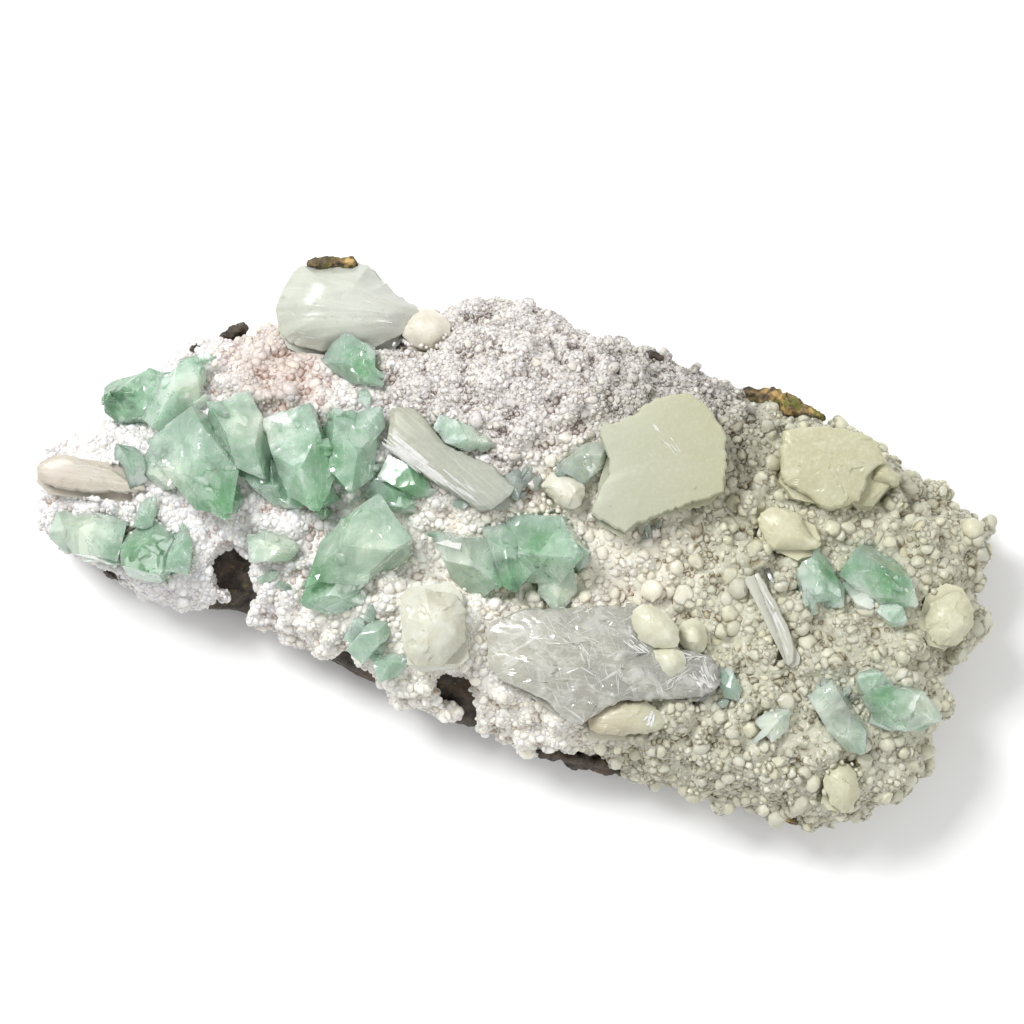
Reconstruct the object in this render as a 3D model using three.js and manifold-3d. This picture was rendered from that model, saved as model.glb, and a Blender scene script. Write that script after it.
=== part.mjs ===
// Apophyllite cluster: green apophyllite and cream stilbite crystals on a white druse
// that covers a slab of dark basalt. Millimetres, +Z up. The slab lies on its flat back
// with the crystals facing up, and the origin is at the middle of the box, on its floor.

import * as THREE from "three";
import { ConvexGeometry } from "three/addons/geometries/ConvexGeometry.js";
import { mergeVertices } from "three/addons/utils/BufferGeometryUtils.js";
import Module from "manifold-3d";

const wasm = await Module();
wasm.setup();

// ---- Driving dimensions ------------------------------------------------------------

const GAP = 0.3; // clearance between pieces that touch
const CROWN = 27; // top of the druse at the middle of the slab
const CROWN_FALL = 5; // how much lower the druse lies at the two ends
const DRUSE_THICKNESS = 7.5;
const DRUSE_EDGE = 12.5; // height of the druse's widest line
const DRUSE_HEM = 8.5; // lowest reach of the druse on the slab's sides
const BASALT_EDGE = 9;
const BASALT_INSET = 3; // how far the basalt stays inside the druse's outline
const BACK_INSET = 9; // how far the flat back stays inside the basalt's widest line
const ROOT_DEPTH = 3.6; // how deep a crystal's root reaches below the druse's surface
const HALF_LENGTH = 83;
const BASALT_POINTS = 34; // how many points the basalt's outline has

// Unevenness: how high its waves are and how long.
const DRUSE_ROLL = { height: 1.2, size: 15 };
const DRUSE_RIPPLE = { height: 0.5, size: 3.3 };
const HEM_RIPPLE = { height: 1.6, size: 6 };
const BASALT_RIPPLE = { height: 0.9, size: 4 };

// The slab's outline seen from above, from its left end clockwise.
const OUTLINE = [
  [-84.9, 9], [-84.4, 13.5], [-82.2, 17.4], [-75.1, 21.8], [-64.8, 22.7], [-62.6, 31.6],
  [-59.4, 35.7], [-54.6, 37.2], [-47.5, 39.8], [-41.6, 38.4], [-29, 38.5], [-17.4, 41.5],
  [-11.6, 41.6], [-10.1, 43.7], [1.4, 44.8], [5.9, 41.6], [15.7, 37.5], [22.8, 35.7],
  [31.7, 32.2], [40.6, 27.9], [49.5, 25], [62.8, 19.5], [69.1, 14.2], [76.2, 9],
  [84.4, 3.9], [84.7, 1.9], [81.9, -1.6], [82.7, -3.4], [81.5, -9.7], [82.4, -12.3],
  [79.7, -17.3], [76.7, -18], [76.2, -25.7], [76.5, -28.5], [73.5, -35.5], [72.6, -39],
  [68.7, -45.3], [63.7, -46.1], [54.8, -48.8], [50.4, -49.2], [42.4, -46.1], [37, -45.1],
  [24.6, -41.3], [12.1, -38.1], [5, -36.4], [-2.1, -33.7], [-12.8, -30.3], [-25.3, -24.6],
  [-39.5, -16.1], [-48.4, -12.3], [-64.4, -9.1], [-74.2, -2.2], [-82.6, 1.9], [-84, 5.5],
];
// The line along the slab's middle that its rings close on.
const SPINE = [[-52, 8], [56, -15]];

// Broad rises and hollows of the druse.
const SWELLS = [
  { x: 5, y: 30, along: 22, across: 14, height: 3 },
  { x: -45, y: -9, along: 14, across: 9, height: -3.5 },
];

// Places where the druse has broken off and the basalt shows: middle, half sizes, turn.
const BARE_SPOTS = [
  { x: -48.6, y: -5.6, along: 4.6, across: 6.6, turn: 26 },
  { x: -51.6, y: -11.6, along: 4.4, across: 2.8, turn: -10 },
  { x: -28, y: -21.8, along: 6.8, across: 2.4, turn: -33 },
  { x: -9.4, y: -27.2, along: 7.4, across: 3.6, turn: -55 },
  { x: 12.2, y: -38.2, along: 9.2, across: 2.6, turn: -13 },
  { x: -72.6, y: -4.2, along: 2.8, across: 1.5, turn: -38 },
  { x: -48, y: 38.6, along: 4.4, across: 2.4, turn: 24 },
  { x: -62.4, y: 32.2, along: 2.6, across: 1.5, turn: 48 },
  { x: 49.6, y: 24.6, along: 7.4, across: 1.9, turn: -22 },
  { x: 49.8, y: -48.6, along: 2.6, across: 1.6, turn: -30 },
];

// ---- Solids ------------------------------------------------------------------------

function solidOf(geometry) {
  const bare = geometry.clone();
  bare.deleteAttribute("normal");
  bare.deleteAttribute("uv");
  const merged = mergeVertices(bare, 1e-4);
  return new wasm.Manifold(
    new wasm.Mesh({
      numProp: 3,
      vertProperties: merged.attributes.position.array,
      triVerts: new Uint32Array(merged.index.array),
    }),
  );
}

function geometryOf(solid) {
  const mesh = solid.getMesh();
  return new THREE.BufferGeometry()
    .setAttribute("position", new THREE.BufferAttribute(mesh.vertProperties, 3))
    .setIndex(new THREE.BufferAttribute(mesh.triVerts, 1));
}

const joined = (solids) => solids.reduce((all, one) => all.add(one));

// The largest of the bodies that a cut leaves; the rest are loose crumbs.
const largest = (solid) =>
  solid.decompose().reduce((best, one) => (one.volume() > best.volume() ? one : best));

// A seeded generator, so that the lumps land in the same places every time.
function seeded(state) {
  return () => {
    state = (state + 0x6d2b79f5) | 0;
    let mixed = Math.imul(state ^ (state >>> 15), 1 | state);
    mixed = (mixed + Math.imul(mixed ^ (mixed >>> 7), 61 | mixed)) ^ mixed;
    return ((mixed ^ (mixed >>> 14)) >>> 0) / 4294967296;
  };
}

// Smooth unevenness from three crossing waves. Each is [strength, share of x, share of y,
// offset].
const WAVES = [[0.45, 0.9, 0.5, 1.3], [0.35, -0.4, 1.1, 0.4], [0.3, 1.7, 1.9, 4.1]];
const uneven = (x, y, { height, size }) =>
  WAVES.reduce((sum, [strength, alongX, alongY, offset]) =>
    sum + height * strength * Math.sin((alongX * x + alongY * y) / size + offset), 0);

// ---- Slab and druse ----------------------------------------------------------------

// An outline as evenly spaced points on a smooth closed curve.
const smoothOutline = (corners, count) =>
  new THREE.CatmullRomCurve3(
    corners.map(([x, y]) => new THREE.Vector3(x, y, 0)), true, "catmullrom", 0.5,
  ).getSpacedPoints(count).slice(0, -1).map(({ x, y }) => new THREE.Vector2(x, y));

function nearestOnSpine(point, [start, end]) {
  const foot = new THREE.Vector2(...start);
  const along = new THREE.Vector2(...end).sub(foot);
  const share = point.clone().sub(foot).dot(along) / along.lengthSq();
  return foot.addScaledVector(along, THREE.MathUtils.clamp(share, 0, 1));
}

// A closed body from rings inside one another. A ring is a share of the way from the
// spine to the outline, less an inset, and a height that may depend on the place.
function loft(outline, spine, rings) {
  const around = outline.length;
  const places = rings.flatMap(({ share, inset = () => 0, height }) =>
    outline.map((edge, i) => {
      const middle = nearestOnSpine(edge, spine);
      const reach = edge.clone().sub(middle);
      reach.setLength(share * (reach.length() - inset(edge)));
      const { x, y } = middle.add(reach);
      return new THREE.Vector3(x, y, height(x, y, i));
    }));
  const index = [];
  for (let ring = 0; ring + 1 < rings.length; ring++) {
    for (let i = 0; i < around; i++) {
      const [a, b] = [ring * around + i, ring * around + ((i + 1) % around)];
      index.push(a, b, a + around, b, b + around, a + around);
    }
  }
  const cap = (ring, order) => {
    const first = ring * around;
    const contour = places.slice(first, first + around).map(({ x, y }) =>
      new THREE.Vector2(x, y));
    for (const corners of THREE.ShapeUtils.triangulateShape(contour, [])) {
      index.push(...order.map((turn) => first + corners[turn]));
    }
  };
  cap(0, [0, 1, 2]);
  cap(rings.length - 1, [0, 2, 1]);
  return new THREE.BufferGeometry().setFromPoints(places).setIndex(index);
}

// The same body with its surface further out, for cutting its neighbours clear of it.
function swollen(geometry, distance) {
  const larger = geometry.clone();
  larger.computeVertexNormals();
  const { position, normal } = larger.attributes;
  for (let i = 0; i < position.count; i++) {
    const out = new THREE.Vector3().fromBufferAttribute(normal, i);
    const place = new THREE.Vector3().fromBufferAttribute(position, i);
    position.setXYZ(i, ...place.addScaledVector(out, distance));
  }
  return larger;
}

const druseOutline = OUTLINE.map(([x, y]) => new THREE.Vector2(x, y));
const basaltOutline = smoothOutline(OUTLINE, BASALT_POINTS);

const crownHeight = (x, y) =>
  SWELLS.reduce((sum, swell) => {
    const away = ((x - swell.x) / swell.along) ** 2 + ((y - swell.y) / swell.across) ** 2;
    return sum + swell.height * Math.exp(-away);
  }, CROWN - CROWN_FALL * (x / HALF_LENGTH) ** 2 + uneven(x, y, DRUSE_ROLL) +
    uneven(x, y, DRUSE_RIPPLE));

// Falls from 1 inside to 0 at the outline, late and steeply, as the slab's shoulder does.
const shoulder = (share) => 1 - share ** 6;

const topRings = (shares, edge, drop, inset) =>
  shares.map((share) => ({
    share,
    inset,
    height: (x, y) => edge + (crownHeight(x, y) - drop - edge) * shoulder(share),
  }));

function druseBody() {
  return loft(druseOutline, SPINE, [
    ...topRings([0.3, 0.6, 0.82, 0.94, 1], DRUSE_EDGE, 0),
    { share: 0.985, height: (x, y) => DRUSE_HEM + uneven(x, y, HEM_RIPPLE) },
    { share: 0.9, height: () => BASALT_EDGE - 5 },
  ]);
}

// The basalt reaches the slab's outline wherever a bare spot lies at the edge.
function basaltInset(edge) {
  const nearness = BARE_SPOTS.map((spot) => {
    const away = Math.hypot(edge.x - spot.x, edge.y - spot.y);
    return Math.exp(-((away / (spot.along + 3)) ** 2));
  });
  return BASALT_INSET * (1 - Math.min(1, 1.3 * Math.max(...nearness)));
}

function basaltBody() {
  const inset = (more) => (edge) => basaltInset(edge) + more;
  const rough = (middle) => (x, y) => middle + uneven(x, y, BASALT_RIPPLE);
  return loft(basaltOutline, SPINE, [
    ...topRings([0.4, 0.78, 0.96], BASALT_EDGE, DRUSE_THICKNESS, inset(0)),
    { share: 1, inset: inset(0), height: rough(BASALT_EDGE - 1.5) },
    { share: 1, inset: inset(2.2), height: rough(4) },
    { share: 1, inset: inset(BACK_INSET - BASALT_INSET), height: () => 0 },
  ]);
}

function bareSpotCutter({ x, y, along, across, turn }, number) {
  const corners = 7;
  const shape = new THREE.Shape(Array.from({ length: corners }, (_, i) => {
    const angle = (i / corners) * 2 * Math.PI;
    const size = 1 + 0.22 * Math.sin(3 * angle + number);
    return new THREE.Vector2(along * size * Math.cos(angle), across * size * Math.sin(angle));
  }));
  const cutter = new THREE.ExtrudeGeometry(shape, { depth: 2 * CROWN, bevelEnabled: false });
  cutter.rotateZ(THREE.MathUtils.degToRad(turn));
  cutter.translate(x, y, 0);
  return solidOf(cutter);
}

const surface = new THREE.Mesh(druseBody());
surface.updateMatrixWorld();
const ray = new THREE.Raycaster();

// Height of the druse's surface above a place.
function ground(x, y) {
  ray.set(new THREE.Vector3(x, y, 100), new THREE.Vector3(0, 0, -1));
  const [hit] = ray.intersectObject(surface);
  return hit ? hit.point.z : DRUSE_EDGE;
}

// ---- Crystals ----------------------------------------------------------------------

// The convex solid behind flat faces, each a plane with its normal facing out.
function solidBehind(faces, grow) {
  const planes = faces.map(({ normal, constant }) =>
    new THREE.Plane(normal, constant - grow));
  const corners = [];
  const inverse = new THREE.Matrix3();
  planes.forEach((a, i) => planes.slice(i + 1).forEach((b, j) => {
    planes.slice(i + j + 2).forEach((c) => {
      inverse.set(...a.normal, ...b.normal, ...c.normal);
      if (Math.abs(inverse.determinant()) < 1e-6) return;
      const corner = new THREE.Vector3(-a.constant, -b.constant, -c.constant)
        .applyMatrix3(inverse.invert());
      if (planes.every((plane) => plane.distanceToPoint(corner) < 1e-5)) corners.push(corner);
    });
  }));
  const apart = corners.filter((corner, i) =>
    corners.slice(0, i).every((other) => other.distanceTo(corner) > 1e-4));
  return solidOf(new ConvexGeometry(apart));
}

// A face at a distance from the middle, or through a point.
const face = (normal, distance) => new THREE.Plane(normal.normalize(), -distance);
const faceThrough = (point, normal) =>
  new THREE.Plane().setFromNormalAndCoplanarPoint(normal.normalize(), point);

// The crystal's own frame: +Z is its long axis, +X its upper side.
function crystalFrame({ x, y, z, heading, pitch = 0, roll = 0 }) {
  const [turn, tilt] = [heading, pitch].map(THREE.MathUtils.degToRad);
  const axis = new THREE.Vector3(
    Math.cos(tilt) * Math.cos(turn), Math.cos(tilt) * Math.sin(turn), Math.sin(tilt),
  );
  const up = new THREE.Vector3(
    -Math.sin(tilt) * Math.cos(turn), -Math.sin(tilt) * Math.sin(turn), Math.cos(tilt),
  ).applyAxisAngle(axis, THREE.MathUtils.degToRad(roll));
  const side = axis.clone().cross(up);
  return new THREE.Matrix4().makeBasis(up, side, axis).setPosition(x, y, z);
}

// Crystals stand on the druse: rise is their middle's height above its surface, and
// they end below in a flat root, ROOT_DEPTH under it.
function crystalSolid(form, crystal, grow) {
  const below = ground(crystal.x, crystal.y);
  const z = below + (crystal.rise ?? 0.3 * crystal.width);
  const frame = crystalFrame({ ...crystal, z });
  const faces = form(crystal).map((plane) => plane.applyMatrix4(frame));
  const root = below - (crystal.root ?? ROOT_DEPTH);
  faces.push(face(new THREE.Vector3(0, 0, -1), -root));
  return solidBehind(faces, grow);
}

// Apophyllite: a square prism whose corners are cut by four steep faces that meet in a
// point, blunted by a small flat end.
const POINT_ANGLE = THREE.MathUtils.degToRad(60.4);

function apophylliteFaces({ length, width, depth = width, blunt = 0.12, lean = 0.08 }) {
  const [halfWidth, halfDepth, half] = [width / 2, depth / 2, length / 2];
  const faces = [
    face(new THREE.Vector3(1, 0, 0), halfDepth * (1 + lean)),
    face(new THREE.Vector3(-1, 0, 0), halfDepth),
    face(new THREE.Vector3(0, 1, 0), halfWidth * (1 - lean)),
    face(new THREE.Vector3(0, -1, 0), halfWidth),
    face(new THREE.Vector3(0, 0, 1), half - blunt * width),
    face(new THREE.Vector3(0, 0, -1), half),
  ];
  for (const [a, b, share] of [[1, 1, 1], [1, -1, 0.93], [-1, 1, 0.95], [-1, -1, 1]]) {
    const normal = new THREE.Vector3(
      a * Math.SQRT1_2 * Math.sin(POINT_ANGLE),
      b * Math.SQRT1_2 * Math.sin(POINT_ANGLE),
      Math.cos(POINT_ANGLE),
    );
    faces.push(face(normal, half * Math.cos(POINT_ANGLE) * share));
  }
  return faces;
}

// Stilbite: a flat blade whose end is cut like a roof and bevelled above. Its broad side
// faces up.
const ROOF_ANGLE = THREE.MathUtils.degToRad(55);

function stilbiteFaces({ length, width, depth }) {
  const half = length / 2;
  const roof = (side) => faceThrough(
    new THREE.Vector3(0, side * 0.32 * width, half - 0.1 * width),
    new THREE.Vector3(0, side * Math.sin(ROOF_ANGLE), Math.cos(ROOF_ANGLE)),
  );
  const bevel = faceThrough(
    new THREE.Vector3(0.4 * depth, 0, half),
    new THREE.Vector3(1, 0, 1.6),
  );
  return [
    face(new THREE.Vector3(1, 0, 0), depth / 2),
    face(new THREE.Vector3(-1, 0, 0), depth / 2),
    face(new THREE.Vector3(0, 1, 0), width / 2),
    face(new THREE.Vector3(0, -1, 0), width / 2),
    face(new THREE.Vector3(0, 0, 1), half),
    face(new THREE.Vector3(0, 0, -1), half),
    roof(1),
    roof(-1),
    bevel,
  ];
}

// Heulandite: a coffin-shaped block, its faces at uneven distances.
function heulanditeFaces({ length, width, depth = width }) {
  const sizes = new THREE.Vector3(depth / 2, width / 2, length / 2);
  const directions = [
    [1, 0, 0, 0.88], [-1, 0, 0, 1], [0, 1, 0, 0.95], [0, -1, 0, 1], [0, 0, 1, 1],
    [0, 0, -1, 1], [1, 1, 0.3, 0.72], [1, -1, 0.2, 0.78], [-1, 1, 0.4, 0.8],
    [0.2, 1, 1, 0.74], [0.1, -1, 1, 0.8], [1, 0.2, 1, 0.7], [0.9, -0.1, -1, 0.72],
    [0.3, 1, -1, 0.76], [0.2, -1, -1, 0.78],
  ];
  return directions.map(([a, b, c, share]) => {
    const normal = new THREE.Vector3(a, b, c).normalize();
    const reach = Math.abs(a) * sizes.x + Math.abs(b) * sizes.y + Math.abs(c) * sizes.z;
    return face(normal, (share * reach) / Math.hypot(a, b, c));
  });
}

// A bead: 18 faces that touch an egg from outside.
function beadFaces({ length, width, depth = width }) {
  const faces = [];
  for (const a of [-1, 0, 1]) {
    for (const b of [-1, 0, 1]) {
      for (const c of [-1, 0, 1]) {
        if (![1, 2].includes(a * a + b * b + c * c)) continue;
        const normal = new THREE.Vector3(a, b, c).normalize();
        const size = new THREE.Vector3(depth, width, length).multiply(normal).length();
        faces.push(face(normal, size / 2));
      }
    }
  }
  return faces;
}

// A sheaf of stilbite: a low dome over its outline, ribbed along the fibres, that stands
// on the druse with upright sides. crown and edge are heights over the druse under its
// spine.
function sheafSolid({ corners, spine, crown, edge, root, points = 18, ...own }, grow) {
  const [start, end] = spine.map(([x, y]) => ground(x, y));
  const { base = (start + end) / 2, rib = 0.25 } = own;
  const top = (share) => (x, y, i) =>
    base + edge + (crown - edge) * (1 - share ** 2.6) + (i % 2 ? rib : -rib) * share + grow;
  const wider = () => -grow;
  return solidOf(loft(smoothOutline(corners, points), spine, [
    ...[0.45, 0.8].map((share) => ({ share, height: top(share), inset: wider })),
    { share: 1, height: top(1), inset: wider },
    { share: 0.9, height: () => base - root - grow, inset: wider },
  ]));
}

// ---- What grows where --------------------------------------------------------------

const APOPHYLLITES = {
  apophyllite_west_point: [
    { x: -64.6, y: 25.9, heading: 181, pitch: 3, length: 22, width: 8, rise: 4.4, roll: 12,
      root: 0.5, blunt: 0.4 },
    { x: -58.2, y: 26.6, heading: 60, pitch: 10, length: 15.5, width: 6, rise: 2, roll: 30 },
  ],
  apophyllite_large_left: [
    { x: -53.2, y: 11.2, heading: -62, pitch: 26, length: 20, width: 10.8, rise: 3.8,
      roll: 18 },
    { x: -46.5, y: 16.5, heading: -60, pitch: 18, length: 16, width: 7.8, rise: 3, roll: -20 },
    { x: -60.8, y: 12, heading: -62, pitch: 35, length: 9, width: 5.2, rise: 1.6, roll: 40 },
    { x: -41, y: 9.3, heading: -48, pitch: 15, length: 9.5, width: 6, rise: 1.5, roll: 10 },
  ],
  apophyllite_large_middle: [
    { x: -36, y: 12.4, heading: -74, pitch: 24, length: 19, width: 9.4, rise: 4, roll: 8 },
    { x: -28.5, y: 13.5, heading: -84, pitch: 32, length: 15, width: 9, rise: 2.8, roll: -24 },
    { x: -25.5, y: 19.5, heading: 56, pitch: 22, length: 11, width: 5.4, rise: 2 },
    { x: -41.5, y: 19.5, heading: 118, pitch: 28, length: 7, width: 4, rise: 1 },
  ],
  apophyllite_under_fan: [
    { x: -26.6, y: 30.8, heading: -52, pitch: 36, length: 10.5, width: 7.4, rise: 2.4,
      roll: 25 },
  ],
  apophyllite_pale_left: [
    { x: -67.6, y: 14.5, heading: 128, pitch: 24, length: 8, width: 5.6, rise: 1.2 },
  ],
  apophyllite_left_edge: [
    { x: -75, y: 1.6, heading: 166, pitch: 4, length: 13, width: 7.6, rise: 1.6, roll: 6,
      blunt: 0.3 },
  ],
  apophyllite_round: [
    { x: -65.2, y: -2.4, heading: 208, pitch: 52, length: 12.5, width: 9.6, rise: 2.8,
      roll: 22 },
  ],
  apophyllite_clear_left: [
    { x: -58, y: -1, heading: 82, pitch: 18, length: 8, width: 4.2, rise: 1 },
  ],
  apophyllite_thin_left: [
    { x: -64, y: 5.6, heading: 76, pitch: 22, length: 6, width: 3.4, rise: 0.8 },
  ],
  apophyllite_pale_row: [
    { x: -41, y: -1.2, heading: 2, pitch: 12, length: 9.5, width: 5, rise: 1 },
  ],
  apophyllite_lower: [
    { x: -28.4, y: -2.5, heading: 212, pitch: 14, length: 18.4, width: 10.6, rise: 4,
      roll: 14 },
    { x: -33.2, y: -9, heading: 206, pitch: 20, length: 11, width: 7.4, rise: 1.8, roll: -18 },
  ],
  apophyllite_centre: [
    { x: 8.4, y: -2.2, heading: -20, pitch: 58, length: 15, width: 12.4, rise: 4, roll: 20 },
    { x: 0, y: -4.6, heading: -88, pitch: 42, length: 13.5, width: 9, rise: 3, roll: 12 },
    { x: 7.8, y: -9, heading: -84, pitch: 22, length: 9, width: 7, rise: 1.4 },
    { x: -8.6, y: -2.5, heading: 144, pitch: 10, length: 14.5, width: 6.8, rise: 2.4,
      roll: 34 },
  ],
  apophyllite_under_blade: [
    { x: -18, y: 10.4, heading: -28, pitch: 10, length: 10, width: 4.6, rise: 1 },
    { x: -20.4, y: 7.6, heading: -34, pitch: 8, length: 9.5, width: 4.2, rise: 0.9, roll: 30 },
  ],
  apophyllite_behind_blade: [
    { x: -8.8, y: 18, heading: -20, pitch: 8, length: 9.5, width: 4.6, rise: 1 },
  ],
  apophyllite_blade_end: [
    { x: 0.4, y: 10.6, heading: 70, pitch: 30, length: 5.5, width: 3.8, rise: 0.8 },
  ],
  apophyllite_glassy: [
    { x: 13, y: 13.8, heading: 38, pitch: 14, length: 11, width: 5, depth: 3.6, rise: 1.6,
      roll: 20 },
  ],
  apophyllite_right_patch: [
    { x: 52.8, y: -5, heading: 100, pitch: 22, length: 9.5, width: 6.6, rise: 1.2, roll: 14 },
    { x: 56, y: -9.4, heading: -52, pitch: 26, length: 7, width: 5, rise: 0.8 },
  ],
  apophyllite_right_pale: [
    { x: 65.6, y: -7.2, heading: -38, pitch: 10, length: 15, width: 6.6, rise: 1.4, roll: 26 },
  ],
  apophyllite_right_point: [
    { x: 64.4, y: -28, heading: 160, pitch: 26, length: 9, width: 7, rise: 2 },
    { x: 69.6, y: -29.4, heading: -14, pitch: 4, length: 13, width: 7.4, rise: 1.6, roll: 12 },
  ],
  apophyllite_right_clear: [
    { x: 57.8, y: -31.6, heading: -60, pitch: 8, length: 14, width: 5.4, rise: 1, roll: 18 },
  ],
  apophyllite_small_right: [
    { x: 46.6, y: -31, heading: 40, pitch: 25, length: 6, width: 5, rise: 0.8 },
  ],
  apophyllite_sheaf_end: [
    { x: 38, y: -25.8, heading: -60, pitch: 20, length: 6, width: 3.4, rise: 0.8 },
  ],
  apophyllite_small_lower: [
    { x: -24.2, y: -16.4, heading: 48, pitch: 16, length: 9.5, width: 4.2, rise: 0.9 },
  ],
  apophyllite_lowest: [
    { x: -20.5, y: -21.2, heading: 20, pitch: 28, length: 6, width: 4.6, rise: 1 },
  ],
};

const SHEAVES = {
  stilbite_fan: {
    corners: [
      [-42, 41.8], [-40.8, 44.8], [-39.4, 47.8], [-37, 49.2], [-31, 50], [-25.4, 49.6],
      [-22.6, 46], [-19.6, 43], [-17.2, 40.4], [-18.4, 38.2], [-19.4, 35.6],
      [-23.1, 33.6], [-29.2, 33.2], [-35.7, 33.2], [-39.8, 34.8], [-41.4, 38.3],
    ],
    spine: [[-35, 41.2], [-24, 39.8]], base: 21.5, crown: 6.5, edge: 1.5, root: 8.5,
  },
  stilbite_blade: {
    corners: [
      [-21.2, 22.6], [-17, 23.1], [-14.4, 21.4], [-13.1, 18.4], [-10.5, 15.6],
      [-4.2, 12.9], [-1.6, 10.5], [0, 7.8], [-1, 5.4], [-5.3, 5.6], [-11.2, 9.2],
      [-16.5, 12.4], [-20.6, 15], [-21.9, 18.8],
    ],
    spine: [[-17.6, 18.4], [-4.2, 9.2]], crown: 5.4, edge: 3, root: 3.6,
  },
  stilbite_plate: {
    corners: [
      [15.4, 18.8], [18.4, 19.6], [22.4, 22.8], [25.9, 23.8], [30.4, 24], [33.6, 21.9],
      [36.1, 17.5], [37, 13.3], [36.3, 7.2], [29.4, 5], [22.8, 3.1], [19.6, 0.4],
      [16.6, 1.5], [14.4, 4], [15, 9.8], [16.6, 15.1],
    ],
    spine: [[21.5, 11.5], [30, 14.5]], crown: 7.2, edge: 5, root: 4.4,
  },
  stilbite_sheaf: {
    corners: [
      [-4.4, -20.6], [-4.4, -16.6], [-2.1, -14.4], [1.4, -12.7], [5.8, -12.2],
      [11, -13.1], [15.4, -12.2], [19.8, -11.7], [23, -13.8], [27, -17.8], [31.2, -19.7],
      [34.1, -21], [36, -23.2], [35.7, -25.8], [33.6, -27.9], [27.7, -28], [22.4, -27.8],
      [17.5, -29.2], [13.7, -30.6], [9.6, -31.2], [5.8, -29], [2.3, -26.6], [-1.2, -24.5],
    ],
    spine: [[3, -20.5], [29, -23.4]], crown: 5.4, edge: 2.2, root: 4, points: 28,
  },
};

const STILBITES = {
  stilbite_stub: [
    { x: 19.4, y: -31.6, heading: 4, pitch: 6, length: 13.2, width: 6, depth: 5.6, rise: 1 },
  ],
  stilbite_left_blade: [
    { x: -75, y: 11.4, heading: 172, pitch: 2, length: 17.5, width: 7, depth: 5, rise: 1.4,
      root: 5 },
  ],
  stilbite_needle: [
    { x: 45.6, y: -14, heading: -64, pitch: 4, length: 17.5, width: 2.8, depth: 2.6,
      rise: 1.2 },
  ],
};

const HEULANDITES = {
  heulandite_upper_right: [
    { x: 54.6, y: 12.6, heading: -12, pitch: 6, length: 14.2, width: 12.8, depth: 10,
      rise: 2.6, root: 5 },
    { x: 60.6, y: 11.6, heading: -40, pitch: 4, length: 11, width: 9.6, depth: 9, rise: 2.2,
      root: 5 },
  ],
  heulandite_lower_left: [
    { x: -13.4, y: -15.8, heading: 96, pitch: 30, length: 13.4, width: 11, depth: 9,
      rise: 2.6 },
  ],
  heulandite_beside_plate: [
    { x: 8.9, y: 8, heading: -40, pitch: 20, length: 6.4, width: 5.8, depth: 5.6, rise: 1.4 },
  ],
  heulandite_right: [
    { x: 48.4, y: 1, heading: -24, pitch: 8, length: 10.6, width: 7, depth: 6, rise: 1 },
  ],
  heulandite_lower_right: [
    { x: 57.6, y: -42.6, heading: 82, pitch: 6, length: 8.6, width: 6, depth: 6, rise: 0.8,
      root: 5 },
  ],
};

const BEADS = {
  heulandite_fan_foot: [
    { x: -15.2, y: 37.4, heading: -10, pitch: 0, length: 9.2, width: 7.6, depth: 7, rise: 2 },
  ],
  heulandite_right_edge: [
    { x: 76, y: -12.8, heading: 74, pitch: 4, length: 11.4, width: 8.6, depth: 8, rise: 0.6,
      root: 5 },
  ],
  heulandite_sheaf_pair: [
    { x: 24.9, y: -16.1, heading: -50, pitch: 0, length: 9, width: 7.2, depth: 6, rise: 5.6,
      root: 4 },
    { x: 27.4, y: -22.2, heading: 20, pitch: 0, length: 6.6, width: 5.6, depth: 5, rise: 4.6,
      root: 4 },
  ],
  heulandite_sheaf_end: [
    { x: 31.8, y: -17, heading: -80, pitch: 0, length: 6.4, width: 5.4, depth: 5.4, rise: 2.4,
      root: 2 },
  ],
};

// Lumps that stand out of the druse one by one: middle and radius.
const LUMPS = [
  [50.2, -11.6, 3.2], [57.8, -14.5, 3.2], [54.6, -21.2, 3.1], [43.9, -21.5, 2.9],
  [45, -27.4, 2.7], [69.6, -18.5, 3], [42, -2.1, 3], [-46.2, 25.7, 3.2], [20, 24.6, 3],
  [9.8, 22.4, 3], [-71.5, 7.4, 3], [73, -1.5, 3.2],
];

function lumps() {
  const random = seeded(7);
  return LUMPS.map(([x, y, radius]) => {
    const lump = new THREE.IcosahedronGeometry(radius, 0);
    lump.rotateZ(random() * Math.PI).rotateX(random() * Math.PI);
    lump.translate(x, y, ground(x, y) - 0.2 * radius);
    return solidOf(lump);
  });
}

// ---- The object --------------------------------------------------------------------

// A crystal's pocket is its own shape, grown by the clearance.
const crystals = [];
const addCrystal = (name, shape) =>
  crystals.push({ name, solid: shape(0), pocket: shape(GAP) });

for (const [name, sheaf] of Object.entries(SHEAVES)) {
  addCrystal(name, (grow) => sheafSolid(sheaf, grow));
}
for (const [form, pieces] of [
  [stilbiteFaces, STILBITES],
  [heulanditeFaces, HEULANDITES],
  [beadFaces, BEADS],
  [apophylliteFaces, APOPHYLLITES],
]) {
  for (const [name, members] of Object.entries(pieces)) {
    addCrystal(name, (grow) => joined(members.map((one) => crystalSolid(form, one, grow))));
  }
}

const basalt = solidOf(basaltBody());
const basaltClearance = solidOf(swollen(basaltBody(), 1.3 * GAP));

// Where two minerals meet, the later one stops at the earlier one's surface.
crystals.forEach((crystal, i) => {
  let solid = crystal.solid.subtract(basaltClearance);
  for (const earlier of crystals.slice(0, i)) {
    if (solid.intersect(earlier.pocket).volume() > 0) solid = solid.subtract(earlier.pocket);
  }
  crystal.solid = largest(solid);
});

const druse = largest(
  joined([solidOf(druseBody()), ...lumps()])
    .subtract(basaltClearance)
    .subtract(joined(crystals.map(({ pocket }) => pocket)))
    .subtract(joined(BARE_SPOTS.map(bareSpotCutter))),
);

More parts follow.
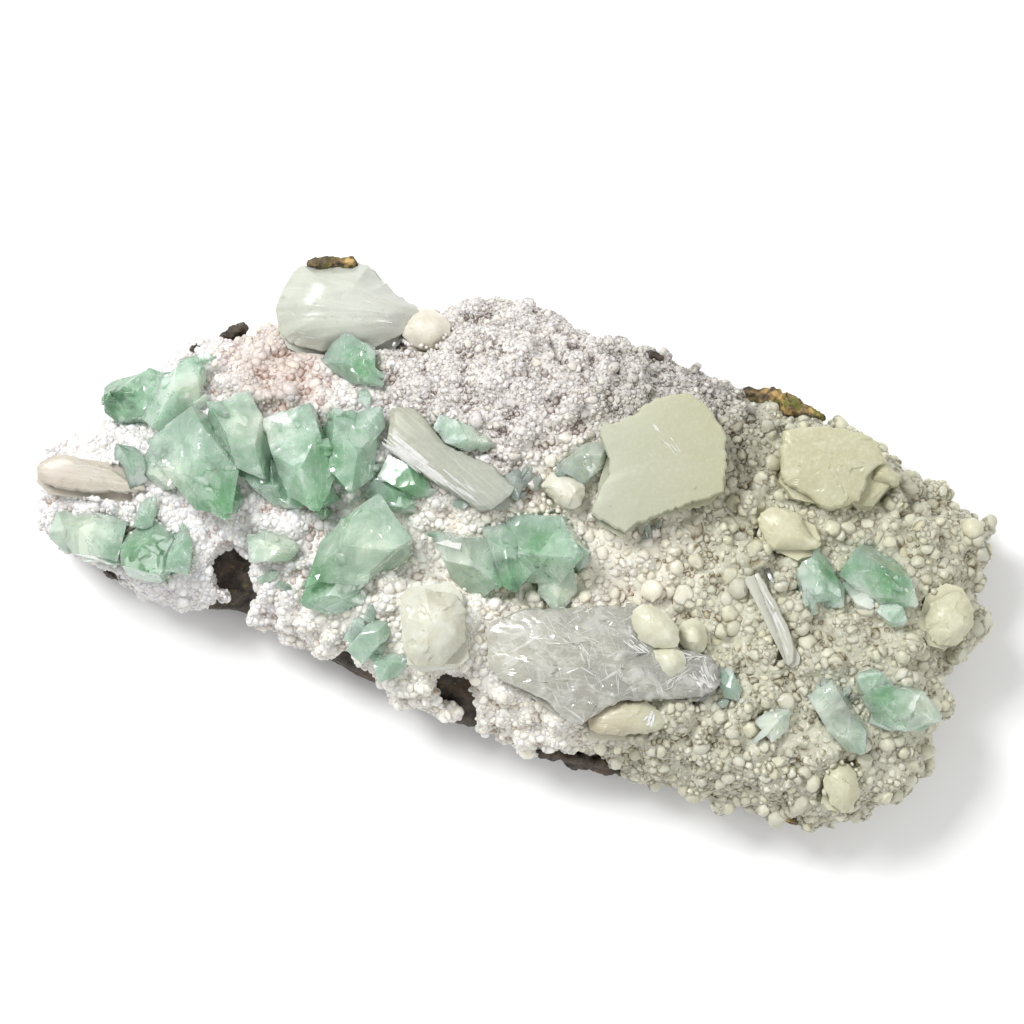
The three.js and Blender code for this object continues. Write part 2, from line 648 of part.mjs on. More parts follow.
const LOOKS = {
  basalt: { color: 0x3a302b, roughness: 0.9, metalness: 0 },
  druse: { color: 0xe6dfd4, roughness: 0.6, metalness: 0 },
  stilbite: { color: 0xd9d8c4, roughness: 0.35, metalness: 0 },
  heulandite: { color: 0xe4e0c8, roughness: 0.4, metalness: 0 },
  apophyllite: { color: 0x8fc9a6, roughness: 0.15, metalness: 0 },
};

const cluster = new THREE.Group();
function place(name, solid) {
  const mineral = name.split("_")[0];
  const material = new THREE.MeshStandardMaterial(LOOKS[mineral]);
  const mesh = new THREE.Mesh(geometryOf(solid), material);
  mesh.name = name;
  cluster.add(mesh);
}
place("basalt_slab", basalt);
place("druse_crust", druse);
crystals.forEach(({ name, solid }) => place(name, solid));

// The origin goes to the middle of the box, on its floor.
const box = new THREE.Box3().setFromObject(cluster);
const middle = box.getCenter(new THREE.Vector3());
cluster.position.set(-middle.x, -middle.y, -box.min.z);

export default cluster;
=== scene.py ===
import itertools
import math

import bmesh
import bpy
import numpy as np
from mathutils import Matrix, Vector, kdtree, noise
from mathutils.bvhtree import BVHTree


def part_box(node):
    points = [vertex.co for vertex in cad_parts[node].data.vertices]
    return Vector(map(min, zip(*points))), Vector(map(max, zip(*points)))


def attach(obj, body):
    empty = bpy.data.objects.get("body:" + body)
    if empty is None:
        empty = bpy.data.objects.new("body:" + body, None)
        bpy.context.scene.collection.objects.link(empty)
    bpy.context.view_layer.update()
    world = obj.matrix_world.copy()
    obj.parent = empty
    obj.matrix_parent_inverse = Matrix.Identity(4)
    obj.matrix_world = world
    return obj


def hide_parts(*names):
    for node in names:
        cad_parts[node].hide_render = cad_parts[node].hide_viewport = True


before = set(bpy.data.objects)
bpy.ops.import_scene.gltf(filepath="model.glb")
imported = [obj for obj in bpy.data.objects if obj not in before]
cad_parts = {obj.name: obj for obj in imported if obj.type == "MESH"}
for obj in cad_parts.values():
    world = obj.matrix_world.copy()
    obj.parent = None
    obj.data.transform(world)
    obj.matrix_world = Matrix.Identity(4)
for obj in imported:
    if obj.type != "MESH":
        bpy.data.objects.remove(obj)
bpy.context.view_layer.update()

# An apophyllite cluster. Lengths are in metres, and tables of places are in
# millimetres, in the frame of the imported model.

MM = 0.001
UP, DOWN = Vector((0, 0, 1)), Vector((0, 0, -1))
ABOVE = 100  # mm: higher than anything on the object

# How fine the meshes are.
BASALT_VOXEL = 1.0 * MM
CHIP_VOXEL = 0.45 * MM
DRUSE_VOXEL = 0.62 * MM
CRYSTAL_EDGE = 0.62 * MM
RING_STEP = 0.45  # mm between the points of a broad crystal
GRAIN_PIECES = 4

# Seeds of the random draws. Where each crystal has its own, this is the first of them.
CHIP_SEED = 11
LUMP_SEED = 3
GRAIN_SEED = 4
OVERGROWTH_SEED = 60
APOPHYLLITE_SEED = 40
SMALL_CRYSTAL_SEED = 8
HEULANDITE_SEED = 20
STILBITE_SEED = 5
RAY_SEED = 17


# ---- Meshes -------------------------------------------------------------------------


def mesh_of(places, faces):
    """A new mesh from points and faces, smooth shaded."""
    mesh = bpy.data.meshes.new("mesh")
    mesh.from_pydata([tuple(p) for p in places], [], [tuple(f) for f in faces])
    mesh.shade_smooth()
    return mesh


def places_of(mesh):
    flat = np.empty(len(mesh.vertices) * 3)
    mesh.vertices.foreach_get("co", flat)
    return flat.reshape(-1, 3)


def normals_of(mesh):
    flat = np.empty(len(mesh.vertices) * 3, np.float32)
    mesh.vertex_normals.foreach_get("vector", flat)
    return flat.reshape(-1, 3).astype(float)


def set_places(mesh, places):
    mesh.vertices.foreach_set("co", np.asarray(places, np.float32).ravel())
    mesh.update()


def edges_of(mesh):
    flat = np.empty(len(mesh.edges) * 2, int)
    mesh.edges.foreach_get("vertices", flat)
    return flat.reshape(-1, 2)


def triangles_of(mesh):
    mesh.calc_loop_triangles()
    flat = np.empty(len(mesh.loop_triangles) * 3, int)
    mesh.loop_triangles.foreach_get("vertices", flat)
    return flat.reshape(-1, 3)


def smoothed(values, edges, times):
    """Values at vertices, each drawn half way to the mean of its neighbours."""
    count = len(values)
    degree = np.bincount(edges.ravel(), minlength=count)[:, None].clip(1)
    values = values.reshape(count, -1).copy()
    for _ in range(times):
        mean = np.stack([
            np.bincount(edges[:, 0], column[edges[:, 1]], count)
            + np.bincount(edges[:, 1], column[edges[:, 0]], count)
            for column in values.T
        ], axis=1) / degree
        values += 0.5 * (mean - values)
    return values


def put(mesh, name, values):
    """Keeps a value, or a colour of three values, for each vertex."""
    values = np.asarray(values, np.float32)
    if values.ndim == 1:
        mesh.attributes.new(name, "FLOAT", "POINT").data.foreach_set("value", values)
        return
    rgba = np.concatenate([values, np.ones((len(values), 1), np.float32)], axis=1)
    mesh.attributes.new(name, "FLOAT_COLOR", "POINT").data.foreach_set("color", rgba.ravel())


def piece(name, mesh, material, replaces=()):
    """A finished piece of the object."""
    shown = bpy.data.objects.new(name, mesh)
    bpy.context.scene.collection.objects.link(shown)
    mesh.name = name
    mesh.materials.clear()
    mesh.materials.append(material)
    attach(shown, "root")
    if replaces:
        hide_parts(*replaces)


def clay_of(mesh):
    """The mesh as an object that modifiers can shape."""
    clay = bpy.data.objects.new("clay", mesh)
    bpy.context.scene.collection.objects.link(clay)
    return clay


def shaped(*clays):
    """The first object's mesh as its modifiers make it; the objects are removed."""
    made = clays[0].evaluated_get(bpy.context.evaluated_depsgraph_get())
    mesh = bpy.data.meshes.new_from_object(made)
    for clay in clays:
        bpy.data.objects.remove(clay)
    return mesh


def remeshed(mesh, voxel):
    """The mesh's outer skin as even small faces."""
    clay = clay_of(mesh)
    remesh = clay.modifiers.new("skin", "REMESH")
    remesh.mode = "VOXEL"
    remesh.voxel_size = voxel
    remesh.use_smooth_shade = True
    return shaped(clay)


def cad_mesh(node):
    """A CAD node's own shape, with its doubled corners merged."""
    shape = bmesh.new()
    shape.from_mesh(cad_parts[node].data)
    bmesh.ops.remove_doubles(shape, verts=shape.verts, dist=1e-6)
    bmesh.ops.recalc_face_normals(shape, faces=shape.faces)
    mesh = bpy.data.meshes.new(node)
    shape.to_mesh(mesh)
    shape.free()
    return mesh


class Heap:
    """Shapes gathered into one mesh, with values kept at their corners."""

    def __init__(self):
        self.places, self.faces, self.values, self.count = [], [], {}, 0

    def add(self, places, faces, **values):
        self.places.append(places)
        self.faces.append(faces + self.count)
        self.count += len(places)
        for name, value in values.items():
            self.values.setdefault(name, []).append(value)

    def take(self, mesh):
        self.add(places_of(mesh), triangles_of(mesh))

    def mesh(self):
        mesh = mesh_of(np.concatenate(self.places), np.concatenate(self.faces))
        for name, values in self.values.items():
            put(mesh, name, np.concatenate(values))
        return mesh

    def tree(self):
        return BVHTree.FromPolygons(np.concatenate(self.places).tolist(),
                                    np.concatenate(self.faces).tolist())


def tree_of(*meshes):
    """A search tree over some meshes."""
    heap = Heap()
    for mesh in meshes:
        heap.take(mesh)
    return heap.tree()


def cad_tree(nodes):
    """A search tree over the CAD shapes of some nodes."""
    return tree_of(*(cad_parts[node].data for node in nodes))


def away_from(tree, places):
    """How far each place is from the surface in a search tree."""
    return np.array([tree.find_nearest(place)[3] for place in places])


def nearest(places, points, count):
    """For each place, the numbers of the points nearest to it, the nearest first."""
    tree = kdtree.KDTree(len(points))
    for i, point in enumerate(points):
        tree.insert(point, i)
    tree.balance()
    return np.array([[found[1] for found in tree.find_n(place, count)] for place in places])


def turned(places, degrees):
    """How far along and across a direction flat places lie."""
    angle = math.radians(degrees)
    return (places @ (math.cos(angle), math.sin(angle)),
            places @ (-math.sin(angle), math.cos(angle)))


def on_top(ground, x, y):
    """The place and normal where a point falls on the ground."""
    spot, normal, _, _ = ground.ray_cast(Vector((x, y, ABOVE)) * MM, DOWN)
    if spot is None:
        spot, normal, _, _ = ground.find_nearest(Vector((x, y, 15)) * MM)
    return spot, normal


def hull(points, bevel=0.0):
    """The closed convex shape round some points: its corners and its triangles."""
    shape = bmesh.new()
    for point in points:
        shape.verts.new(point)
    bmesh.ops.convex_hull(shape, input=shape.verts)
    inner = [v for v in shape.verts if not v.link_faces]
    bmesh.ops.delete(shape, geom=inner, context="VERTS")
    bmesh.ops.dissolve_limit(shape, angle_limit=math.radians(2), verts=shape.verts,
                             edges=shape.edges)
    if bevel:
        bmesh.ops.bevel(shape, geom=shape.edges[:], offset=bevel, segments=1, profile=0.5,
                        affect="EDGES", clamp_overlap=True)
    bmesh.ops.triangulate(shape, faces=shape.faces)
    bmesh.ops.recalc_face_normals(shape, faces=shape.faces)
    mesh = bpy.data.meshes.new("hull")
    shape.to_mesh(mesh)
    shape.free()
    return places_of(mesh), triangles_of(mesh)


def srgb(*levels):
    """A colour given as on a screen, 0 to 255, in linear light."""
    return tuple(
        c / 12.92 if c <= 0.04045 else ((c + 0.055) / 1.055) ** 2.4
        for c in (level / 255 for level in levels)
    )


# ---- Materials ----------------------------------------------------------------------

# The scale of a noise is how many of its features fit in a metre, so 1000 gives 1 mm.


class Shader:
    """A material made of nodes; its methods each add some and return their output."""

    def __init__(self, name):
        self.material = bpy.data.materials.new(name)
        self.material.use_nodes = True
        self.tree = self.material.node_tree
        self.tree.nodes.clear()
        self.place = self.add("TexCoord").outputs["Object"]

    def add(self, kind, inputs=None, **settings):
        node = self.tree.nodes.new("ShaderNode" + kind)
        for key, value in settings.items():
            setattr(node, key, value)
        for key, value in (inputs or {}).items():
            if isinstance(value, bpy.types.NodeSocket):
                self.tree.links.new(value, node.inputs[key])
            else:
                node.inputs[key].default_value = value
        return node

    def kept(self, name, output="Fac"):
        return self.add("Attribute", attribute_name=name).outputs[output]

    def noise(self, scale, detail=3, vector=None, rough=0.55, distortion=0.0):
        return self.add("TexNoise", {
            "Vector": vector or self.place, "Scale": scale, "Detail": detail,
            "Roughness": rough, "Distortion": distortion,
        }).outputs["Fac"]

    def cells(self, scale):
        return self.add("TexVoronoi", {"Vector": self.place, "Scale": scale}).outputs["Color"]

    def vector(self, operation, amount):
        return self.add("VectorMath", {0: self.place, 1: amount},
                        operation=operation).outputs[0]

    def span(self, value, low, high, new_low=0.0, new_high=1.0):
        return self.add("MapRange", {
            "Value": value, "From Min": low, "From Max": high,
            "To Min": new_low, "To Max": new_high,
        }).outputs["Result"]

    def math(self, operation, first, second):
        return self.add("Math", {0: first, 1: second}, operation=operation).outputs[0]

    def plus(self, first, second):
        return self.math("ADD", first, second)

    def times(self, first, second):
        return self.math("MULTIPLY", first, second)

    def mix(self, share, first, second, blend="MIX"):
        def colour(value):
            return value if isinstance(value, bpy.types.NodeSocket) else (*value, 1)
        return self.add("Mix", {0: share, 6: colour(first), 7: colour(second)},
                        data_type="RGBA", blend_type=blend).outputs[2]

    def over(self, colour, second, value, low, high, start=0.0, end=1.0):
        """Mixes in a second colour, from start where a value is low to end where it's high."""
        return self.mix(self.span(value, low, high, start, end), colour, second)

    def bump(self, height, strength, distance):
        return self.add("Bump", {
            "Height": height, "Strength": strength, "Distance": distance,
        }).outputs["Normal"]

    def finish(self, inputs, volume=None):
        surface = self.add("BsdfPrincipled", inputs).outputs[0]
        sockets = {"Surface": surface}
        if volume:
            sockets["Volume"] = self.add("VolumeAbsorption", volume).outputs[0]
        self.add("OutputMaterial", sockets)
        return self.material


def basalt_look():
    s = Shader("basalt")
    rough = s.noise(420, 6, rough=0.65)
    grain = s.noise(2600)
    colour = s.over(srgb(30, 28, 26), srgb(98, 88, 78), rough, 0.35, 0.68)
    colour = s.over(colour, srgb(98, 78, 60), s.noise(190, 4), 0.56, 0.7, end=0.8)
    colour = s.over(colour, srgb(112, 106, 66), s.noise(900), 0.62, 0.68, end=0.8)
    colour = s.over(colour, srgb(140, 124, 112), grain, 0.62, 0.75, end=0.5)
    rust = s.over(srgb(62, 56, 38), srgb(196, 162, 104), s.noise(700, 4), 0.42, 0.6)
    rust = s.over(rust, srgb(112, 112, 52), s.noise(420), 0.5, 0.6)
    rusty = s.times(s.kept("rust"), s.span(s.noise(330), 0.3, 0.5))
    height = s.plus(s.times(rough, 0.7), s.times(grain, 0.3))
    return s.finish({
        "Base Color": s.mix(rusty, colour, rust),
        "Roughness": s.span(grain, 0.3, 0.7, 0.55, 0.95),
        "Specular IOR Level": 0.35,
        "Normal": s.bump(height, 0.6, 0.5 * MM),
    })


def druse_look():
    s = Shader("druse")
    fine = s.noise(2400)
    lighter = s.span(s.noise(260), 0.3, 0.7, 0.0, 0.3)
    colour = s.mix(lighter, s.kept("tint", "Color"), (1, 1, 1), "SOFT_LIGHT")
    specks = s.times(s.kept("speck"), s.span(s.noise(1300, 2), 0.56, 0.64))
    colour = s.mix(s.times(specks, 0.75), colour, srgb(112, 104, 98))
    colour = s.over(colour, srgb(160, 150, 136), fine, 0.35, 0.65, 0.16, 0.0)
    # Crevices, seams and the low sides of grains take the crevice colour: brown stain and
    # painted shade.
    depth = s.plus(s.kept("crevice"), s.span(fine, 0.3, 0.7, -0.12, 0.12))
    colour = s.over(colour, s.kept("stain_and_shade", "Color"), depth, 0.25, 0.9)
    height = s.plus(fine, s.times(s.cells(1900), 0.5))
    return s.finish({
        "Base Color": colour,
        "Roughness": s.span(s.noise(900, 2), 0.35, 0.65, 0.28, 0.6),
        "Specular IOR Level": 0.5,
        "Subsurface Weight": 0.45,
        "Subsurface Radius": (1, 0.9, 0.76),
        "Subsurface Scale": 1.0 * MM,
        "Normal": s.bump(height, 0.45, 0.14 * MM),
    })


def apophyllite_look():
    s = Shader("apophyllite")
    veils = s.noise(170, 6, rough=0.62, distortion=0.5)
    lengthwise = s.vector("MULTIPLY", (1500, 420, 700))
    wisps = s.noise(1, 5, vector=lengthwise, rough=0.72, distortion=0.4)
    deep = s.times(s.kept("edge"), s.span(s.noise(200), 0.35, 0.6, 0.1, 0.4))
    green = s.math("MAXIMUM", s.kept("green"), deep)
    milk = s.times(s.kept("milk"), s.span(veils, 0.35, 0.6, 0.4, 1))
    dark = s.times(s.kept("dark"), s.span(s.noise(310), 0.35, 0.55))
    colour = s.mix(green, srgb(196, 225, 205), srgb(128, 192, 138))
    colour = s.mix(s.kept("colourless"), colour, srgb(214, 226, 216))
    colour = s.over(colour, srgb(232, 246, 235), veils, 0.46, 0.66, end=0.4)
    colour = s.over(colour, srgb(244, 251, 245), wisps, 0.53, 0.66, end=0.5)
    colour = s.over(colour, srgb(246, 251, 246), s.noise(1100), 0.45, 0.68, end=0.14)
    colour = s.mix(milk, colour, srgb(220, 229, 211))
    colour = s.mix(s.times(dark, 0.72), colour, srgb(46, 98, 70))
    clear = s.math("SUBTRACT", s.span(veils, 0.36, 0.64, 0.62, 0.4), s.times(milk, 0.25))
    clear = s.plus(clear, s.times(s.kept("colourless"), 0.2))
    height = s.plus(s.times(wisps, 0.6), s.noise(520, 4))
    return s.finish({
        "Base Color": colour,
        "Roughness": s.span(veils, 0.3, 0.7, 0.14, 0.36),
        "IOR": 1.535,
        "Transmission Weight": clear,
        "Subsurface Weight": 0.8,
        "Subsurface Radius": (0.8, 1, 0.8),
        "Subsurface Scale": 3 * MM,
        "Coat Weight": 0.7,
        "Coat Roughness": 0.05,
        "Coat IOR": 1.5,
        "Normal": s.bump(height, 0.3, 0.2 * MM),
    }, {"Color": (*srgb(150, 220, 160), 1), "Density": 26})


def stilbite_look(name, clear, density, ribs, crossed, rough, gloss, cloudy=0.0):
    s = Shader(name)
    across, along = s.kept("fibre"), s.kept("along")

    def fibres(slant, fineness):
        sideways = s.plus(across, s.times(along, slant))
        forward = s.math("SUBTRACT", along, s.times(across, slant))
        return s.noise(1, 4, vector=s.add("CombineXYZ", {
            "X": s.times(sideways, fineness), "Y": s.times(forward, 90),
            "Z": s.times(slant, 9),
        }).outputs[0], rough=0.62)

    straight = fibres(0.0, 2400)
    clouds = s.noise(130, 5, distortion=0.7)
    puffs = s.noise(300, 5, rough=0.6, distortion=1.2)
    fine = s.noise(1700)
    tint = s.kept("tint", "Color")
    colour = s.over(tint, srgb(178, 178, 160), clouds, 0.35, 0.65, end=0.4)
    colour = s.over(colour, srgb(240, 240, 234), puffs, 0.47, 0.62, end=cloudy)
    colour = s.over(colour, srgb(244, 245, 238), straight, 0.5, 0.7, end=ribs)
    # Patches of white lines across the fibres: white cleavage, partly painted glints.
    for slant in (0.5, -0.75, 1.9):
        patch = s.noise(210, 2, vector=s.vector("ADD", (slant, 0, 0)))
        line = s.span(fibres(slant, 1300), 0.6, 0.66)
        share = s.times(line, s.span(patch, 0.45, 0.6, 0, crossed))
        colour = s.mix(share, colour, srgb(250, 250, 246))
    colour = s.over(colour, srgb(120, 112, 96), s.noise(900, 2), 0.7, 0.76, end=0.4)
    colour = s.over(colour, srgb(232, 232, 216), fine, 0.5, 0.68, end=0.1)
    height = s.plus(s.times(straight, ribs), s.times(fine, 0.25))
    return s.finish({
        "Base Color": colour,
        "Roughness": s.span(fine, 0.3, 0.7, rough - 0.08, rough + 0.12),
        "IOR": 1.5,
        "Transmission Weight": s.span(clouds, 0.3, 0.7, clear, clear * 0.5),
        "Subsurface Weight": 0.35,
        "Subsurface Radius": (1, 0.97, 0.85),
        "Subsurface Scale": 1.6 * MM,
        "Coat Weight": gloss,
        "Coat Roughness": 0.08,
        "Normal": s.bump(height, 0.4, 0.16 * MM),
    }, {"Color": (*srgb(226, 226, 204), 1), "Density": density})


def heulandite_look():
    s = Shader("heulandite")
    clouds = s.noise(230, 4, distortion=0.4)
    fine = s.noise(1500, 4)
    tint = s.kept("tint", "Color")
    colour = s.over(tint, srgb(168, 160, 124), clouds, 0.35, 0.65, end=0.4)
    return s.finish({
        "Base Color": s.over(colour, srgb(236, 235, 222), fine, 0.48, 0.68, end=0.16),
        "Roughness": s.span(fine, 0.3, 0.7, 0.26, 0.5),
        "IOR": 1.5,
        "Subsurface Weight": 0.3,
        "Subsurface Radius": (1, 0.93, 0.75),
        "Subsurface Scale": 1.2 * MM,
        "Normal": s.bump(s.plus(s.times(fine, 0.5), clouds), 0.25, 0.16 * MM),
    })


# A near-white glossy look for white fibres and for painted highlights.
def fibre_and_glint_look():
    s = Shader("fibres_and_glints")
    fine = s.noise(1400)
    return s.finish({
        "Base Color": s.over(srgb(232, 233, 228), srgb(250, 250, 247), fine, 0.3, 0.7),
        "Roughness": s.span(fine, 0.3, 0.7, 0.08, 0.25),
        "IOR": 1.5,
        "Transmission Weight": 0.3,
        "Coat Weight": 0.8,
        "Coat Roughness": 0.03,
    })


# ---- Camera, light and floor --------------------------------------------------------

AIM = Vector((0, 4.7, 26)) * MM
ELEVATION = math.radians(85)
DISTANCE = 0.8
FRAME_WIDTH = 179.2 * MM  # what the picture spans at the aim
SENSOR = 36  # mm
# The lights: name, place, side, power in watts.
SOFTBOXES = [("key", (-0.4, 0.36, 0.7), 0.34, 7.5), ("fill", (0.6, -0.3, 0.7), 0.4, 2.5)]
SKY = 0.52
FLOOR_REACH = 3.0


def camera():
    lens = bpy.data.cameras.new("camera")
    lens.sensor_width = SENSOR
    lens.lens = SENSOR * DISTANCE / FRAME_WIDTH
    lens.clip_start = 0.01
    viewer = bpy.data.objects.new("camera", lens)
    away = Vector((0, -math.cos(ELEVATION), math.sin(ELEVATION)))
    viewer.location = AIM + DISTANCE * away
    viewer.rotation_euler = (math.pi / 2 - ELEVATION, 0, 0)
    bpy.context.scene.collection.objects.link(viewer)
    bpy.context.scene.camera = viewer


def lights():
    for name, place, side, power in SOFTBOXES:
        light = bpy.data.lights.new(name, "AREA")
        light.shape = "RECTANGLE"
        light.size = light.size_y = side
        light.energy = power
        lamp = bpy.data.objects.new(name, light)
        lamp.location = place
        lamp.rotation_euler = (AIM - lamp.location).to_track_quat("-Z", "Y").to_euler()
        bpy.context.scene.collection.objects.link(lamp)
    world = bpy.data.worlds.new("studio")
    world.use_nodes = True
    world.node_tree.nodes["Background"].inputs["Color"].default_value = (1, 1, 1, 1)
    world.node_tree.nodes["Background"].inputs["Strength"].default_value = SKY
    bpy.context.scene.world = world


def stage():
    """The camera, the lights, the floor and how light is followed."""
    camera()
    lights()
    corners = [(-1, -1, 0), (1, -1, 0), (1, 1, 0), (-1, 1, 0)]
    floor = bpy.data.objects.new("floor", mesh_of(np.array(corners) * FLOOR_REACH,
                                                  [(0, 1, 2, 3)]))
    paper = Shader("paper")
    floor.data.materials.append(paper.finish({
        "Base Color": paper.mix(paper.noise(40), (0.94, 0.94, 0.94), (0.96, 0.96, 0.96)),
        "Roughness": 0.9,
    }))
    bpy.context.scene.collection.objects.link(floor)

    scene = bpy.context.scene
    scene.view_settings.view_transform = "Standard"
    scene.cycles.use_denoising = True
    scene.cycles.max_bounces = 14
    scene.cycles.transmission_bounces = 12


# ---- Basalt -------------------------------------------------------------------------

# Rusty and olive stains on the basalt: middle, radius.
RUST = [(49, 25, 7), (55, 23, 5), (38, 29, 4), (-29, 49, 6), (50, -48.6, 3)]
# Bits of basalt that stand out of the druse's rim: middle, half sizes, turn in degrees.
CHIPS = [
    (-49.9, 37.8, 12.6, 3.8, 1.5, 3.6, 30), (-56.2, 34.8, 15, 1.9, 1.5, 2.6, 30),
    (-33.4, 49.1, 21.2, 3.4, 1.6, 5.0, 4), (-29.6, 49.0, 20.6, 3.0, 1.5, 5.0, -6),
    (42.8, 26.8, 13.6, 2.4, 1.6, 2.6, -10), (46.0, 26.2, 14.2, 3.0, 2.2, 2.8, -24),
    (49.6, 24.6, 14.2, 3.4, 2.3, 2.9, -20), (53.4, 23.0, 14.4, 3.0, 1.9, 2.6, -20),
    (25.4, 33.4, 14.4, 2.4, 1.2, 2.6, -30), (49.8, -48.0, 7, 2.8, 1.2, 3.4, -30),
    (-71.8, -4.8, 11, 2.6, 0.8, 3.4, -38), (-74.4, -2.4, 13, 2.2, 0.7, 3.2, -38),
    (6.4, -37.0, 10, 3.4, 1.5, 4.6, -12), (11.4, -38.2, 10, 3.4, 1.7, 4.6, -8),
    (16.4, -39.2, 10, 3.4, 1.6, 4.6, -10), (20.2, -40.2, 10, 2.4, 1.4, 4.4, -14),
]
CHIP_CORNERS = 22
CHIP_ROUGHNESS = 1.7  # as a multiple of the slab's
FADING, FINER = 0.9, 2.1  # how fast a fractal's finer waves fade, how much finer each is


def field(mesh, scale, detail, seed=0.0):
    """Fractal noise at each vertex, about -1 to 1."""
    shift = Vector((seed, 2.3 * seed, 0.7 * seed))
    return np.array([
        noise.fractal(Vector(p) * scale + shift, FADING, FINER, detail)
        for p in places_of(mesh)
    ])


def spots(mesh, table):
    """How near each vertex is to the listed spots, seen from above, 0 to 1."""
    places = places_of(mesh)[:, :2] / MM
    near = np.zeros(len(places))
    for x, y, radius in table:
        away = ((places - (x, y)) ** 2).sum(1)
        near = np.maximum(near, np.exp(-away / radius ** 2))
    return near


def rock(name, mesh, look, amount, replaces=()):
    """A piece with basalt's broken and pitted surface; the flat back stays flat."""
    places, out = places_of(mesh), normals_of(mesh)
    facets = field(mesh, 150, 2) * 0.5 + np.abs(field(mesh, 420, 3, 5.0)) * 0.8 - 0.3
    pits = np.minimum(0, field(mesh, 640, 1, 9.0) + 0.3)
    rough = (0.55 * facets + 0.9 * pits) * MM * amount
    side = np.clip(places[:, 2] / (1.5 * MM), 0, 1)
    places = places + out * (rough * side)[:, None]
    places[:, 2] = places[:, 2].clip(0)
    set_places(mesh, places)
    put(mesh, "rust", spots(mesh, RUST))
    piece(name, mesh, look, replaces)


def basalt():
    look = basalt_look()
    mesh = remeshed(cad_mesh("basalt_slab"), BASALT_VOXEL)
    set_places(mesh, smoothed(places_of(mesh), edges_of(mesh), 1))
    rock("basalt", mesh, look, 1, ["basalt_slab"])

    chips = Heap()
    pick = np.random.default_rng(CHIP_SEED)
    for *middle, along, across, high, turn in CHIPS:
        stone = pick.normal(size=(CHIP_CORNERS, 3))
        stone /= np.linalg.norm(stone, axis=1)[:, None]
        spin = np.array(Matrix.Rotation(math.radians(turn), 3, "Z"))
        stone = (stone * (along, across, high)) @ spin.T
        chips.add(*hull(stone * MM + np.array(middle) * MM))
    rock("basalt_chips", remeshed(chips.mesh(), CHIP_VOXEL), look, CHIP_ROUGHNESS)


# ---- Druse --------------------------------------------------------------------------

MATRIX = ("basalt_slab", "druse_crust")  # what the crystals grow on

# Zones of the druse, blended into one another: middle, size, colour, colour of its
# crevices (brown stain and painted shade together), how much painted shade and dirt darken
# the hollows between its lumps, how much painted shade darkens the seams between its
# grains, how specked it is, radius of its lumps and how much of it they cover, radius of
# its grains and how deep they sit.
ZONES = [
    dict(x=-60, y=5, size=28, colour=srgb(230, 227, 225), stain_and_shade=srgb(156, 128, 116),
         dirt_and_shade=0.8, seam_shade=0.32, speck=0.0, lump=1.9, lumpy=1.0, grain=0.62, sink=0.42),
    dict(x=-24, y=-24, size=20, colour=srgb(240, 236, 225), stain_and_shade=srgb(150, 130, 110),
         dirt_and_shade=0.8, seam_shade=0.4, speck=0.1, lump=1.9, lumpy=0.95, grain=0.66, sink=0.44),
    dict(x=-42, y=29, size=8, colour=srgb(202, 187, 177), stain_and_shade=srgb(146, 110, 96),
         dirt_and_shade=0.9, seam_shade=0.45, speck=0.0, lump=2.1, lumpy=1.0, grain=0.62, sink=0.42),
    dict(x=-3, y=31, size=16, colour=srgb(216, 211, 206), stain_and_shade=srgb(112, 96, 90),
         dirt_and_shade=0.8, seam_shade=0.55, speck=0.75, lump=1.8, lumpy=0.8, grain=0.54, sink=0.38),
    dict(x=30, y=26, size=12, colour=srgb(196, 193, 187), stain_and_shade=srgb(88, 80, 74),
         dirt_and_shade=0.8, seam_shade=0.65, speck=1.0, lump=1.7, lumpy=0.7, grain=0.52, sink=0.38),
    dict(x=-14, y=-8, size=9, colour=srgb(250, 245, 233), stain_and_shade=srgb(168, 150, 130),
         dirt_and_shade=0.6, seam_shade=0.45, speck=0.0, lump=1.9, lumpy=0.9, grain=0.68, sink=0.46),
    dict(x=14, y=-2, size=14, colour=srgb(230, 225, 210), stain_and_shade=srgb(130, 105, 80),
         dirt_and_shade=0.55, seam_shade=0.6, speck=0.1, lump=2.2, lumpy=0.95, grain=0.79, sink=0.52),
    dict(x=40, y=17, size=7, colour=srgb(164, 162, 144), stain_and_shade=srgb(78, 71, 53),
         dirt_and_shade=0.8, seam_shade=0.8, speck=0.4, lump=1.8, lumpy=0.6, grain=0.66, sink=0.45),
    dict(x=58, y=0, size=26, colour=srgb(194, 193, 172), stain_and_shade=srgb(112, 98, 66),
         dirt_and_shade=0.6, seam_shade=0.65, speck=0.1, lump=2.6, lumpy=1.0, grain=0.86, sink=0.54),
    dict(x=48, y=-36, size=18, colour=srgb(198, 197, 177), stain_and_shade=srgb(108, 96, 68),
         dirt_and_shade=0.65, seam_shade=0.7, speck=0.1, lump=2.2, lumpy=0.9, grain=0.78, sink=0.52),
]
# Cracks in the druse: middle, half sizes, turn in degrees.
CRACKS = [(7.8, 33.6, 3.2, 0.5, -68), (-2.2, 13.2, 1.6, 0.6, -30), (-5.4, -7.8, 1.8, 0.8, 40),
          (36.4, 21.8, 0.5, 2.6, 10), (28.4, 10.6, 2.4, 0.5, -12), (46.6, -21, 1.8, 0.5, 50)]
CRACK_DEPTH = 1.6  # mm
CRACK_COLOUR = srgb(34, 29, 26)

# How many places are tried for lumps and grains, for overgrowth on each square
# millimetre, and how near two may lie, in the sum of their radii.
LUMP_TRIES, LUMP_PACKING = 8000, 0.78
GRAIN_TRIES, GRAIN_PACKING = 120000, 0.6
OVERGROWTH_TRIES, OVERGROWTH_PACKING = 2, 0.55

# A grain's rings of corners: degrees from its top, and how many corners.
TINY_RINGS = [(0, 1), (44, 5), (88, 8)]
SMALL_RINGS = [(0, 1), (36, 5), (66, 9), (98, 9)]
LARGE_RINGS = [(0, 1), (20, 6), (40, 11), (60, 15), (80, 17), (104, 17)]
